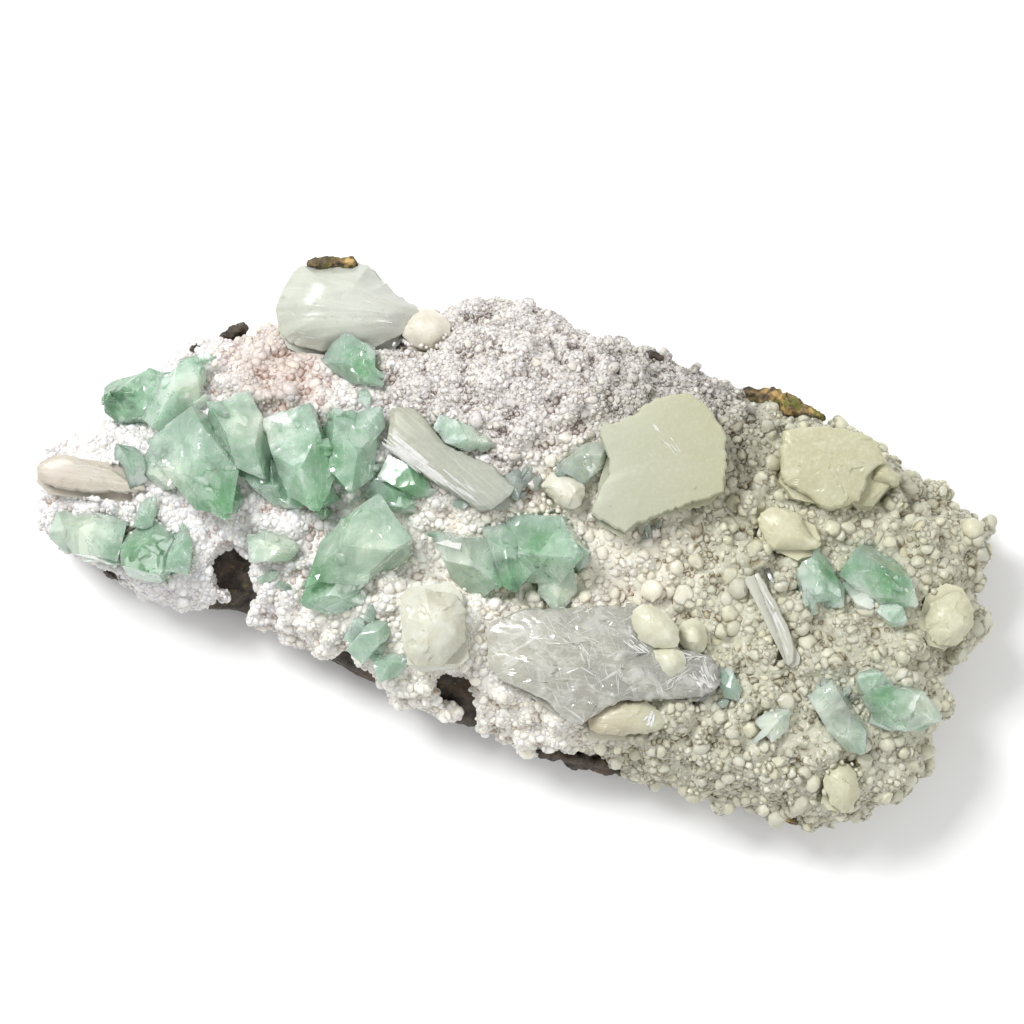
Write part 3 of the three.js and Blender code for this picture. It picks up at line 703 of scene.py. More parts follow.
# The grains' kinds: the radius in mm that they stay below, and their rings.
GRAIN_KINDS = [(0.6, TINY_RINGS), (1.25, SMALL_RINGS), (math.inf, LARGE_RINGS)]
ROOT = -0.75  # the lowest point of a grain, in its radius
FACETS = (3, 8, 8)  # flat faces of one grain after another
LARGE_SHARE = 0.14  # of the places tried
PALEST = 0.92
SEAM_REACH = 0.36 * MM
GRAIN_RADII = (0.42 * MM, 2.4 * MM)
# A lump or grain has at least this radius and this distance from a crystal, and reaches
# no deeper than about this into a crystal or the basalt.
SMALLEST, SUNK_IN = 0.3 * MM, 0.2 * MM
# Skin this close to a crystal is drawn into it by the overlap, more the closer it is.
CLOSE, OVERLAP, EASING = 0.8 * MM, 0.25 * MM, 0.35 * MM
TOUCHING = 0.7 * MM  # how close to the basalt the skin lies on it


def zoned(places, key):
    """A zone value at each place, blended from the zones around it."""
    flat = places[:, :2] / MM
    weights = np.stack([
        np.exp(-((flat[:, 0] - z["x"]) ** 2 + (flat[:, 1] - z["y"]) ** 2) / z["size"] ** 2)
        for z in ZONES
    ], axis=1) ** 1.5 + 1e-9
    weights /= weights.sum(1, keepdims=True)
    values = np.array([np.atleast_1d(z[key]) for z in ZONES], float)
    blended = weights @ values
    return blended[:, 0] if blended.shape[1] == 1 else blended


def within(points, table, room):
    """Which points lie over a listed spot or within their own room of it."""
    found = np.zeros(len(points), bool)
    for x, y, along, across, turn in table:
        ahead, aside = turned(points[:, :2] / MM - (x, y), turn)
        found |= (ahead / (along + room / MM)) ** 2 + (aside / (across + room / MM)) ** 2 < 1
    return found


def scattered(mesh, count, seed, free=None):
    """Random places on a mesh, evenly by area, their normals and a corner near each."""
    places, triangles = places_of(mesh), triangles_of(mesh)
    a, b, c = (places[triangles[:, k]] for k in range(3))
    across = np.cross(b - a, c - a)
    area = np.linalg.norm(across, axis=1)
    weight = area if free is None else area * free[triangles].all(1)
    pick = np.random.default_rng(seed)
    chosen = pick.choice(len(area), count, p=weight / weight.sum())
    u, v = pick.random((2, count, 1))
    u, v = np.where(u + v > 1, 1 - u, u), np.where(u + v > 1, 1 - v, v)
    points = a[chosen] + u * (b - a)[chosen] + v * (c - a)[chosen]
    out = across[chosen] / area[chosen][:, None].clip(1e-12)
    return points, out, triangles[chosen, 0], pick


def packed(points, radius, share):
    """Which balls to keep, so that no two lie nearer than a share of their radii."""
    cell = 2 * share * float(radius.max())
    keys = np.floor(points / cell).astype(int).tolist()
    grid, kept = {}, []
    for i, ((x, y, z), r, (a, b, c)) in enumerate(zip(points.tolist(), radius.tolist(), keys)):
        around = itertools.product((a - 1, a, a + 1), (b - 1, b, b + 1), (c - 1, c, c + 1))
        if any(
            (x - u) ** 2 + (y - v) ** 2 + (z - w) ** 2 < (share * (r + s)) ** 2
            for key in around for u, v, w, s in grid.get(key, ())
        ):
            continue
        grid.setdefault((a, b, c), []).append((x, y, z, r))
        kept.append(i)
    return np.array(kept)


def grain_shapes(rings, count, pick):
    """Grains that point up: round, or with a few flat faces, each a bit uneven."""
    unit = [(0, 0, ROOT)]
    for tilt, corners in rings:
        high, wide = math.cos(math.radians(tilt)), math.sin(math.radians(tilt))
        for k in range(corners):
            around = 2 * math.pi * (k + tilt / 50) / corners
            unit.append((wide * math.cos(around), wide * math.sin(around), high))
    unit, sides = hull(unit)
    shapes = []
    for number in range(count):
        worn = unit.copy()
        for plane in pick.normal(size=(FACETS[number % len(FACETS)], 3)):
            plane /= np.linalg.norm(plane)
            over = (worn @ plane - pick.uniform(0.62, 0.92)).clip(0)
            worn -= over[:, None] * plane
        worn += pick.normal(0, 0.035, worn.shape)
        shapes.append(worn)
    return np.array(shapes), sides


def grown(shapes, sides, middles, out, radius, pick):
    """A grain round each middle: corners, faces, and corners' heights in their grain."""
    aside = np.cross(out, pick.normal(size=out.shape))
    aside /= np.linalg.norm(aside, axis=1)[:, None].clip(1e-9)
    axes = np.stack([aside, np.cross(out, aside), out], axis=1)
    unit = shapes[pick.integers(0, len(shapes), len(middles))]
    size = radius[:, None, None] * pick.uniform(0.76, 1.2, (len(middles), 1, 3))
    corners = middles[:, None] + (unit * size) @ axes
    first = unit.shape[1] * np.arange(len(middles))
    faces = (sides[None] + first[:, None, None]).reshape(-1, 3)
    return corners, faces, unit[:, :, 2]


def buried(height):
    """How deep among its neighbours a grain's corner is by its height, 0 to 1; deeper corners
    get more painted shade.
    """
    return np.clip((0.4 - height) / 0.6, 0, 1)


def shades(depth, tint, stain_and_shade, speck):
    """What the druse's look reads at each corner, from values for each grain."""
    corners = depth.shape[1]
    return {
        "crevice": depth.clip(0, 1).ravel(),
        "tint": np.repeat(tint, corners, axis=0),
        "stain_and_shade": np.repeat(stain_and_shade, corners, axis=0),
        "speck": np.repeat(speck, corners),
    }


def seams(corners, middles, radius, others):
    """How near each corner of a grain is to the grains around it, 0 to 1."""
    away = np.linalg.norm(corners[:, :, None] - middles[others][:, None], axis=3)
    gap = (away - radius[others][:, None]).min(2)
    return np.clip(1 - gap / SEAM_REACH, 0, 1)


def thin_below(mesh, slab):
    """Fewer faces where the druse lies on the basalt, which nothing shows."""
    places = places_of(mesh)
    hidden = [i for i, p in enumerate(places) if slab.find_nearest(p, TOUCHING)[0] is not None]
    clay = clay_of(mesh)
    clay.vertex_groups.new(name="hidden").add(hidden, 1.0, "REPLACE")
    thin = clay.modifiers.new("thin", "DECIMATE")
    thin.vertex_group = "hidden"
    thin.vertex_group_factor = 10
    thin.ratio = 1 - 0.94 * len(hidden) / len(places)
    return shaped(clay)


def closed_up(places, crystals):
    """Druse close to a crystal reaches a little way into it, so no gap shows."""
    places = places.copy()
    for i, place in enumerate(places):
        spot, normal, _, away = crystals.find_nearest(place, CLOSE)
        if spot is None or (Vector(place) - spot).dot(normal) < 0:
            continue
        share = min(1.0, (CLOSE - away) / EASING)
        places[i] += np.array(spot - Vector(place) - OVERLAP * normal) * share
    return places


def fitting(points, out, radius, crystals, slab):
    """Which grains fit, and their radii where a crystal or the basalt is close by."""
    room = away_from(crystals, points)
    below = [slab.find_nearest(p) for p in points]
    under = np.array([found[3] for found in below])
    towards = np.array([found[0] for found in below]) - points
    facing = (towards * out).sum(1) / under.clip(1e-6)
    radius = np.minimum(radius, 1.1 * room + SUNK_IN)
    radius = np.minimum(radius, under + SUNK_IN)
    radius = np.minimum(radius, points[:, 2] / 1.2)
    fits = (room > SMALLEST) & (radius > SMALLEST)
    # Next to the basalt only those that don't face it fit.
    fits &= (under > 0.9 * MM) | (facing < 0.3) & (under > 0.15 * MM)
    fits &= ~within(points, CRACKS, 0.2 * radius)
    return fits, radius


def lumpy_skin(crust, crystals, slab):
    """The crust's surface with its lumps and low mounds."""
    points, out, _, pick = scattered(crust, LUMP_TRIES, LUMP_SEED)
    radius = zoned(points, "lump") * MM * pick.lognormal(0, 0.3, len(points))
    fits, radius = fitting(points, out, radius, crystals, slab)
    fits &= pick.random(len(points)) < zoned(points, "lumpy")
    points, out, radius = points[fits], out[fits], radius[fits]
    kept = packed(points, radius, LUMP_PACKING)
    points, out, radius = points[kept], out[kept], radius[kept]
    heap = Heap()
    heap.take(crust)
    shapes = grain_shapes(LARGE_RINGS, 8, pick)
    middles = points - out * (0.1 * radius)[:, None]
    corners, faces, _ = grown(*shapes, middles, out, radius, pick)
    heap.add(corners.reshape(-1, 3), faces)
    mesh = remeshed(heap.mesh(), DRUSE_VOXEL)
    places, out = places_of(mesh), normals_of(mesh)
    free = away_from(slab, places) > 1.5 * MM
    mounds = (field(mesh, 210, 2, 4.0) * 0.9 - 0.15) * MM
    set_places(mesh, places + out * (mounds * free)[:, None])
    return mesh


def druse():
    """The crust with its lumps, and the grains all over it. Returns the crust."""
    look = druse_look()
    crust = cad_mesh("druse_crust")
    crystals = cad_tree(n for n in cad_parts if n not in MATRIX)
    slab = cad_tree(["basalt_slab"])
    mesh = thin_below(lumpy_skin(crust, crystals, slab), slab)
    edges = edges_of(mesh)
    places = closed_up(smoothed(places_of(mesh), edges, 1), crystals)
    cracked = within(places, CRACKS, 0)
    places[cracked] -= normals_of(mesh)[cracked] * CRACK_DEPTH * MM
    set_places(mesh, places)

    # How far each point lies down in a hollow between lumps; grains there are darkened by dirt
    # and painted shade.
    hollow = ((smoothed(places, edges, 14) - places) * normals_of(mesh)).sum(1) / MM
    hollow = smoothed(np.clip(3 * hollow - 0.2, 0, 1)[:, None], edges, 2)[:, 0].clip(0, 0.6)
    # The crevice colour: brown stain and painted shade.
    stain_and_shade = zoned(places, "stain_and_shade")
    stain_and_shade[cracked] = CRACK_COLOUR
    # The skin showing between the grains is darkened as painted shade, but not next to the
    # crystals.
    beside = away_from(crystals, places) < 1.2 * MM
    put(mesh, "crevice", np.where(beside, 0, 0.45 * zoned(places, "seam_shade")))
    put(mesh, "tint", zoned(places, "colour"))
    put(mesh, "stain_and_shade", stain_and_shade)
    put(mesh, "speck", zoned(places, "speck"))
    piece("druse", mesh, look, ["druse_crust"])
    grains(mesh, hollow, crystals, slab, look)
    overgrowth(crust, look)
    return mesh


def mixed_grains(base, crystals, slab):
    """Places for grains of mixed sizes on the druse, small ones between the large."""
    free = away_from(slab, places_of(base)) > 0.5 * MM
    points, out, corner, pick = scattered(base, GRAIN_TRIES, GRAIN_SEED, free)
    count = len(points)
    large = np.arange(count) < LARGE_SHARE * count
    rim = np.clip(1 - out[:, 2], 0, 1)
    radius = zoned(points, "grain") * MM * pick.lognormal(0, 0.26, count) * (1 - 0.3 * rim)
    radius = np.where(large, radius * 1.3, radius * 0.88).clip(*GRAIN_RADII)
    fits, radius = fitting(points, out, radius, crystals, slab)
    order = np.argsort(np.where(large, -radius * pick.uniform(0.7, 1.3, count), 1))
    order = order[fits[order]]
    order = order[packed(points[order], radius[order], GRAIN_PACKING)]
    return points[order], out[order], radius[order], corner[order], pick


def grains(base, hollow, crystals, slab, look):
    """Grains over the whole druse, as a few pieces from left to right."""
    points, out, radius, corner, pick = mixed_grains(base, crystals, slab)
    count = len(points)
    sunk = zoned(points, "sink") * pick.uniform(0.75, 1.2, count) * radius
    middles = points - out * sunk[:, None]
    others = nearest(middles, middles, 9)[:, 1:]
    # Grains in the hollows between lumps are darker: dirt and painted shade.
    dirt_and_shade = hollow[corner] * zoned(points, "dirt_and_shade")
    seam_shade, stain_and_shade, speck = (zoned(points, key) for key in ("seam_shade", "stain_and_shade", "speck"))
    tone = pick.lognormal(0, 0.05, (count, 1))
    warm = pick.normal(0, 0.015, (count, 1)) * np.array([1, 0.6, -1.6])
    tint = (zoned(points, "colour") * (tone + warm)).clip(0, PALEST)
    cuts = np.quantile(points[:, 0], np.linspace(0, 1, GRAIN_PIECES + 1)[1:-1])
    strip = np.searchsorted(cuts, points[:, 0])
    kind = np.searchsorted([limit * MM for limit, _ in GRAIN_KINDS], radius, "right")
    kinds = [grain_shapes(rings, 12, pick) for _, rings in GRAIN_KINDS]
    for number in range(GRAIN_PIECES):
        heap = Heap()
        for size, shapes in enumerate(kinds):
            own = np.flatnonzero((kind == size) & (strip == number))
            corners, faces, height = grown(*shapes, middles[own], out[own], radius[own], pick)
            # A grain is darkened as painted shade where it nears its neighbours and low down
            # among them.
            near = seams(corners, middles, radius, others[own])
            depth = np.maximum(near, buried(height)) * seam_shade[own][:, None]
            depth = depth + dirt_and_shade[own][:, None]
            heap.add(corners.reshape(-1, 3), faces,
                     **shades(depth, tint[own], stain_and_shade[own], speck[own]))
        mesh = heap.mesh()
        mesh.set_sharp_from_angle(angle=math.radians(34))
        piece(f"druse_grains_{number + 1}", mesh, look)


def overgrowth(crust, look):
    """Grains on the feet of the crystals."""
    around = tree_of(crust)
    heap = Heap()
    for number, node in enumerate(sorted(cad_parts)):
        if node in MATRIX:
            continue
        solid = cad_mesh(node)
        tries = int(sum(p.area for p in solid.polygons) / MM ** 2 * OVERGROWTH_TRIES)
        points, out, _, pick = scattered(solid, tries, OVERGROWTH_SEED + number)
        radius = zoned(points, "grain") * MM * pick.uniform(0.6, 1.1, len(points))
        room = away_from(around, points)
        near = (room < 0.7 * MM) & (out[:, 2] > -0.1) & (room > 0.28 * MM)
        shown = [i for i in np.flatnonzero(near) if on_outside(points[i], out[i], around)]
        if not shown:
            continue
        kept = np.array(shown)[packed(points[shown], radius[shown], OVERGROWTH_PACKING)]
        points, out, radius = points[kept], out[kept], radius[kept]
        tone = pick.lognormal(0, 0.05, (len(kept), 1))
        tint = (zoned(points, "colour") * tone).clip(0, PALEST)
        seam_shade, stain_and_shade, speck = (zoned(points, key) for key in ("seam_shade", "stain_and_shade", "speck"))
        middles = points - out * (pick.uniform(0.3, 0.6, len(kept)) * radius)[:, None]
        shapes = grain_shapes(TINY_RINGS, 8, pick)
        corners, faces, height = grown(*shapes, middles, out, radius, pick)
        # Their low sides are darkened as painted shade.
        heap.add(corners.reshape(-1, 3), faces,
                 **shades(buried(height) * seam_shade[:, None], tint, stain_and_shade, speck))
    piece("druse_overgrowth", heap.mesh(), look)


def on_outside(point, normal, crust):
    """Whether a point of a crystal is above the druse and not down in its pocket."""
    start = Vector(point) + Vector(normal) * 0.05 * MM
    return crust.ray_cast(start, UP)[0] is None and \
        crust.ray_cast(start, Vector(normal), 1.2 * MM)[0] is None


# ---- Crystals -----------------------------------------------------------------------

# Where the apophyllite is greenest, where milky, dark or colourless: middle, radius.
PATCHES = {
    "green": [
        (-70, 26, 5), (-50, 6, 6), (-33, 6, 6), (-36, -7, 6), (5, -2, 4), (0, -7, 4),
        (64, -28, 4), (-65, -3, 5), (-26, 30, 3), (-18, 9, 4), (56, -5, 4), (66, -8, 4),
        (-32, 14, 4),
    ],
    "milk": [
        (-45, 20, 5), (-60, 10, 4), (-76, 1, 6), (-26, -2, 6), (9, -10, 4), (14, 14, 5),
        (73, -11, 4), (72, -30, 5), (-41, -1, 5), (-56, 26, 3), (61, -11, 3),
        (56, -31, 6), (46, -33, 4), (-9, -4, 4), (-4, 18, 4),
    ],
    "dark": [
        (-69.5, 24.6, 4.4), (-61, 15, 1.6), (-41.5, 12, 2.2), (-36, -4, 2.5),
        (-2, -4.5, 2.2), (-14.5, 0, 1.4), (1, -9, 2),
    ],
    "colourless": [
        (-9, -2, 4.5), (14, 14, 5), (3, 9.5, 4), (26, -1, 4), (45, -7, 6), (58, -30, 4),
    ],
}
# Its faces that mirror the light, as the photo shows them, from above, where thin white plates
# are painted highlights.
PAINTED_GLINTS = [
    [(-13.3, 1.3), (-12.2, 2.4), (-8.4, 0.1), (-8.9, -2.5), (-13.3, -1.1)],
    [(-46.9, -4.3), (-45.3, -2.2), (-43.5, -4.1), (-44.7, -4.9)],
    [(14.2, 14.8), (15.5, 16.7), (16.7, 16.2), (16.6, 14.2), (14.9, 12.8)],
]
GLINT_ABOVE, GLINT_BELOW = 0.45, 0.6  # mm from the face

# The apophyllites' chipped edges and growth steps: width, how far apart, how steep.
CHIPPED = 0.3 * MM
STEPS_APART, STEP_SLOPE = 3.4 * MM, 0.045
OFFSHOOTS_APART = 6.5 * MM
FULL_SIZE = 15 * MM  # from here on a crystal's edges are as green as they get


def fine_enough(shape, edge):
    """Cuts long edges until none is much longer than edge."""
    bmesh.ops.triangulate(shape, faces=shape.faces)
    for _ in range(6):
        long_edges = [e for e in shape.edges if e.calc_length() > 1.5 * edge]
        if not long_edges:
            break
        bmesh.ops.subdivide_edges(shape, edges=long_edges, cuts=1)
        bmesh.ops.triangulate(shape, faces=[f for f in shape.faces if len(f.verts) > 3])


def stepped(places, out, spacing, slope, pick):
    """Low growth steps: each place rises to the highest of the tilted planes near it."""
    low, high = places.min(0), places.max(0)
    count = int(np.prod((high - low) / spacing + 1))
    centres = low + pick.random((count, 3)) * (high - low)
    tilts = pick.normal(0, slope, (count, 3))
    near = nearest(places, centres, 3)
    rise = ((places[:, None] - centres[near]) * tilts[near]).sum(2).max(1)
    return places + out * (rise - rise.mean())[:, None]


def merged(shapes):
    """One closed mesh from shapes that overlap."""
    first, *others = [clay_of(mesh_of(*shape)) for shape in shapes]
    for other in others:
        join = first.modifiers.new("join", "BOOLEAN")
        join.operation = "UNION"
        join.solver = "MANIFOLD"
        join.object = other
    return shaped(first, *others)


def crystal_mesh(plain, pick):
    """A crystal with chipped edges and growth steps on its faces."""
    shape = bmesh.new()
    shape.from_mesh(plain)
    bmesh.ops.dissolve_limit(shape, angle_limit=math.radians(0.6), verts=shape.verts,
                             edges=shape.edges)
    sharp = [e for e in shape.edges if e.is_manifold and e.calc_face_angle(0) > 0.3]
    bmesh.ops.bevel(shape, geom=sharp, offset=CHIPPED, segments=1, profile=0.6,
                    affect="EDGES", clamp_overlap=True)
    fine_enough(shape, CRYSTAL_EDGE)
    mesh = bpy.data.meshes.new("crystal")
    shape.to_mesh(mesh)
    shape.free()
    mesh.shade_smooth()
    set_places(mesh, stepped(places_of(mesh), normals_of(mesh), STEPS_APART, STEP_SLOPE, pick))
    return mesh_of(places_of(mesh), triangles_of(mesh))


def point_shape(length, width, pick, bevel, root=0.75):
    """A blunt crystal along +X: a four-sided column that ends in a short ridge."""
    flat = pick.uniform(0.6, 0.95)
    shoulder = pick.uniform(0.0, 0.28)
    corners = []
    for x, share in ((-0.5, root), (shoulder, 1.0)):
        for y, z in ((-0.5, -0.5), (0.5, -0.5), (0.5, 0.5), (-0.5, 0.5)):
            jitter = pick.uniform(-0.06, 0.06, 3)
            corners.append((x * length + jitter[0] * width, (y * share + jitter[1]) * width,
                            (z * share + jitter[2]) * width * flat))
    for y in (-0.12, 0.12):
        corners.append((0.5 * length, y * width, pick.uniform(-0.15, 0.15) * width))
    return hull(corners, bevel)


def laid(shape, place, ahead, up):
    """A shape turned from +X and +Z to these directions and moved to a place."""
    ahead = Vector(ahead).normalized()
    aside = Vector(up).cross(ahead).normalized()
    axes = np.array([ahead, aside, ahead.cross(aside)])
    return shape[0] @ axes + np.array(place), shape[1]


def offshoots(mesh, pick):
    """Small crystals grown side by side with the main one, half sunk in its surface."""
    corners = places_of(mesh)
    main = np.linalg.svd(corners - corners.mean(0), full_matrices=False)[2][0]
    tries = int(sum(p.area for p in mesh.polygons) / OFFSHOOTS_APART ** 2) + 2
    points, out, _, _ = scattered(mesh, tries, int(pick.integers(1000)))
    shapes = []
    for point, normal in zip(points, out):
        if normal[2] < 0.05:
            continue
        length, width = pick.uniform(3.0, 7.0) * MM, pick.uniform(1.2, 2.6) * MM
        ahead = main * pick.choice((-1, 1)) + pick.normal(0, 0.1, 3)
        ahead -= 0.7 * (ahead @ normal) * normal
        sink = pick.uniform(0.2, 0.4) * width
        shapes.append(laid(point_shape(length, width, pick, 0, root=0.35),
                           point - sink * normal, ahead, normal))
    return shapes


def finished_crystal(name, mesh, look, replaces=(), edges=1.0):
    """A piece of apophyllite, with where it's bent, green, milky, dark and colourless."""
    mesh.set_sharp_from_angle(angle=math.radians(13))
    bend = smoothed(normals_of(mesh), edges_of(mesh), 2)
    put(mesh, "edge", np.clip(4 * (1 - np.linalg.norm(bend, axis=1)), 0, 1) * edges)
    for patch, table in PATCHES.items():
        put(mesh, patch, spots(mesh, table))
    piece(name, mesh, look, replaces)


def apophyllites(look):
    nodes = sorted(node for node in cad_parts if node.startswith("apophyllite"))
    for number, node in enumerate(nodes):
        pick = np.random.default_rng(APOPHYLLITE_SEED + number)
        solid = cad_mesh(node)
        joined = merged([(places_of(solid), triangles_of(solid)), *offshoots(solid, pick)])
        mesh = crystal_mesh(joined, pick)
        size = np.ptp(places_of(mesh)[:, :2], axis=0).max()
        finished_crystal(node + "_crystal", mesh, look, [node],
                         edges=min(1, size / FULL_SIZE) ** 2)


def painted_glints(look):
    """Thin white plates, painted highlights, where a face of a crystal mirrors the light."""
    crystals = cad_tree(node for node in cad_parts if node.startswith("apophyllite"))
    heap = Heap()
    for outline in PAINTED_GLINTS:
        hits = [crystals.ray_cast(Vector((x, y, ABOVE)) * MM, DOWN) for x, y in outline]
        corners = np.array([hit[0] for hit in hits if hit[0] is not None])
        out = np.mean([hit[1] for hit in hits if hit[0] is not None], axis=0)
        out /= np.linalg.norm(out)
        flat = corners - ((corners - corners.mean(0)) @ out)[:, None] * out
        top = flat + GLINT_ABOVE * MM * out
        heap.add(*hull(np.vstack([top, flat - GLINT_BELOW * MM * out])))
    mesh = heap.mesh()
    mesh.shade_flat()
    piece("apophyllite_painted_glints", mesh, look)


# Small crystals between the large ones: middle, length and width, the way the tip points
# and how far it is lifted, in degrees.
SMALL_CRYSTALS = [
    (-49.0, 19.4, 10, 6.0, 40, 10), (-45.8, 13.3, 6.2, 5.2, 60, 25),
    (-40.6, 9.4, 7.0, 4.6, -50, 15), (-60.6, 12.4, 6.3, 4.6, 100, 25),
    (-41.2, 17.4, 4.9, 3.2, 90, 25), (-30.4, 15.2, 6.4, 4.2, 110, 20),
    (-58.2, 29.2, 6.3, 3.9, 60, 25), (-59.6, 22.8, 6.0, 4.6, 20, 20),
    (-49.8, 6.2, 5.3, 4.6, -90, 20), (-78.0, 2.0, 6.4, 5.8, 200, 15),
    (-33.2, 7.6, 6.4, 5.0, -80, 25), (12.4, -3.0, 6.0, 3.6, -90, 20),
    (0.0, 10.6, 3.6, 1.7, 70, 45), (2.8, 10.6, 4.6, 1.9, 60, 40),
    (4.4, 9.8, 3.9, 1.4, 75, 50), (1.4, 7.4, 3.2, 1.2, 30, 35),
    (-8.8, 6.0, 2.9, 1.6, -10, 20), (-22.2, 7.4, 4.6, 2.6, -30, 20),
    (-18.8, 6.8, 4.2, 2.2, 10, 25), (23.6, 1.0, 4.2, 1.6, 80, 45),
    (25.6, 2.4, 2.8, 1.1, 60, 40), (35.6, -25.6, 4.4, 1.8, -70, 25),
    (36.8, -28.6, 2.8, 1.4, 20, 30), (55.0, -26.0, 5.2, 2.2, -100, 25),
    (57.6, -30.4, 7.0, 2.0, -60, 20), (60.4, -33.2, 6.0, 1.8, 130, 20),
    (55.4, -32.6, 6.4, 1.4, -75, 25), (58.6, -26.6, 3.0, 1.6, 60, 35),
    (62.8, -25.4, 6.6, 5.0, 150, 25), (66.8, -13.2, 6.0, 4.0, -40, 20),
    (61.0, -9.8, 7.0, 4.0, -50, 20), (50.0, -2.0, 5.0, 3.6, 100, 25),
    (55.6, -10.6, 5.6, 3.4, -70, 20), (45.0, -6.2, 7.0, 0.8, -66, 15),
    (42.6, -8.0, 6.0, 0.7, -58, 15), (38.6, 7.0, 2.6, 0.9, 50, 30),
    (-73.6, -1.6, 5.6, 4.2, 170, 15), (-68.6, 1.0, 4.4, 3.0, 30, 30),
    (-61.6, -1.4, 3.6, 2.4, 60, 30), (-42.6, -6.4, 4.4, 1.6, 20, 25),
    (-40.2, -8.0, 4.0, 1.4, -20, 25), (-27.2, -15.6, 5.0, 2.8, 60, 20),
    (-23.8, -19.2, 4.4, 2.6, 20, 25), (-24.6, -12.6, 3.8, 1.8, 70, 30),
    (-29.0, -9.6, 4.0, 2.0, -60, 25), (-28.6, 31.6, 5.4, 4.0, -60, 25),
    (-25.6, 24.0, 4.2, 2.0, -70, 25), (-20.6, 17.8, 4.0, 2.2, 100, 30),
]


def small_crystals(ground, look):
    """The listed small crystals, each with up to two smaller ones beside it."""
    heap = Heap()
    pick = np.random.default_rng(SMALL_CRYSTAL_SEED)
    for x, y, length, width, angle, lift in SMALL_CRYSTALS:
        spot, normal = on_top(ground, x, y)
        turn, rise = math.radians(angle), math.radians(lift)
        ahead = Vector((math.cos(turn), math.sin(turn), math.tan(rise)))
        raised = Vector((0, 0, math.sin(rise) * length * 0.25 * MM))
        middle = spot + normal * 0.12 * width * MM + raised
        shape = point_shape(length * MM, width * MM, pick, 0.12 * MM)
        heap.add(*laid(shape, middle, ahead, normal))
        for _ in range(pick.integers(0, 3)):
            wide = width * pick.uniform(0.3, 0.6) * MM
            away = Vector(pick.normal(0, 0.4, 3)) * width * MM
            shape = point_shape(length * pick.uniform(0.4, 0.8) * MM, wide, pick, 0.08 * MM)
            aim = ahead + Vector(pick.normal(0, 0.25, 3))
            heap.add(*laid(shape, middle + away, aim, normal))
    finished_crystal("apophyllite_small", heap.mesh(), look, edges=0.3)


# ---- Broad crystals -----------------------------------------------------------------

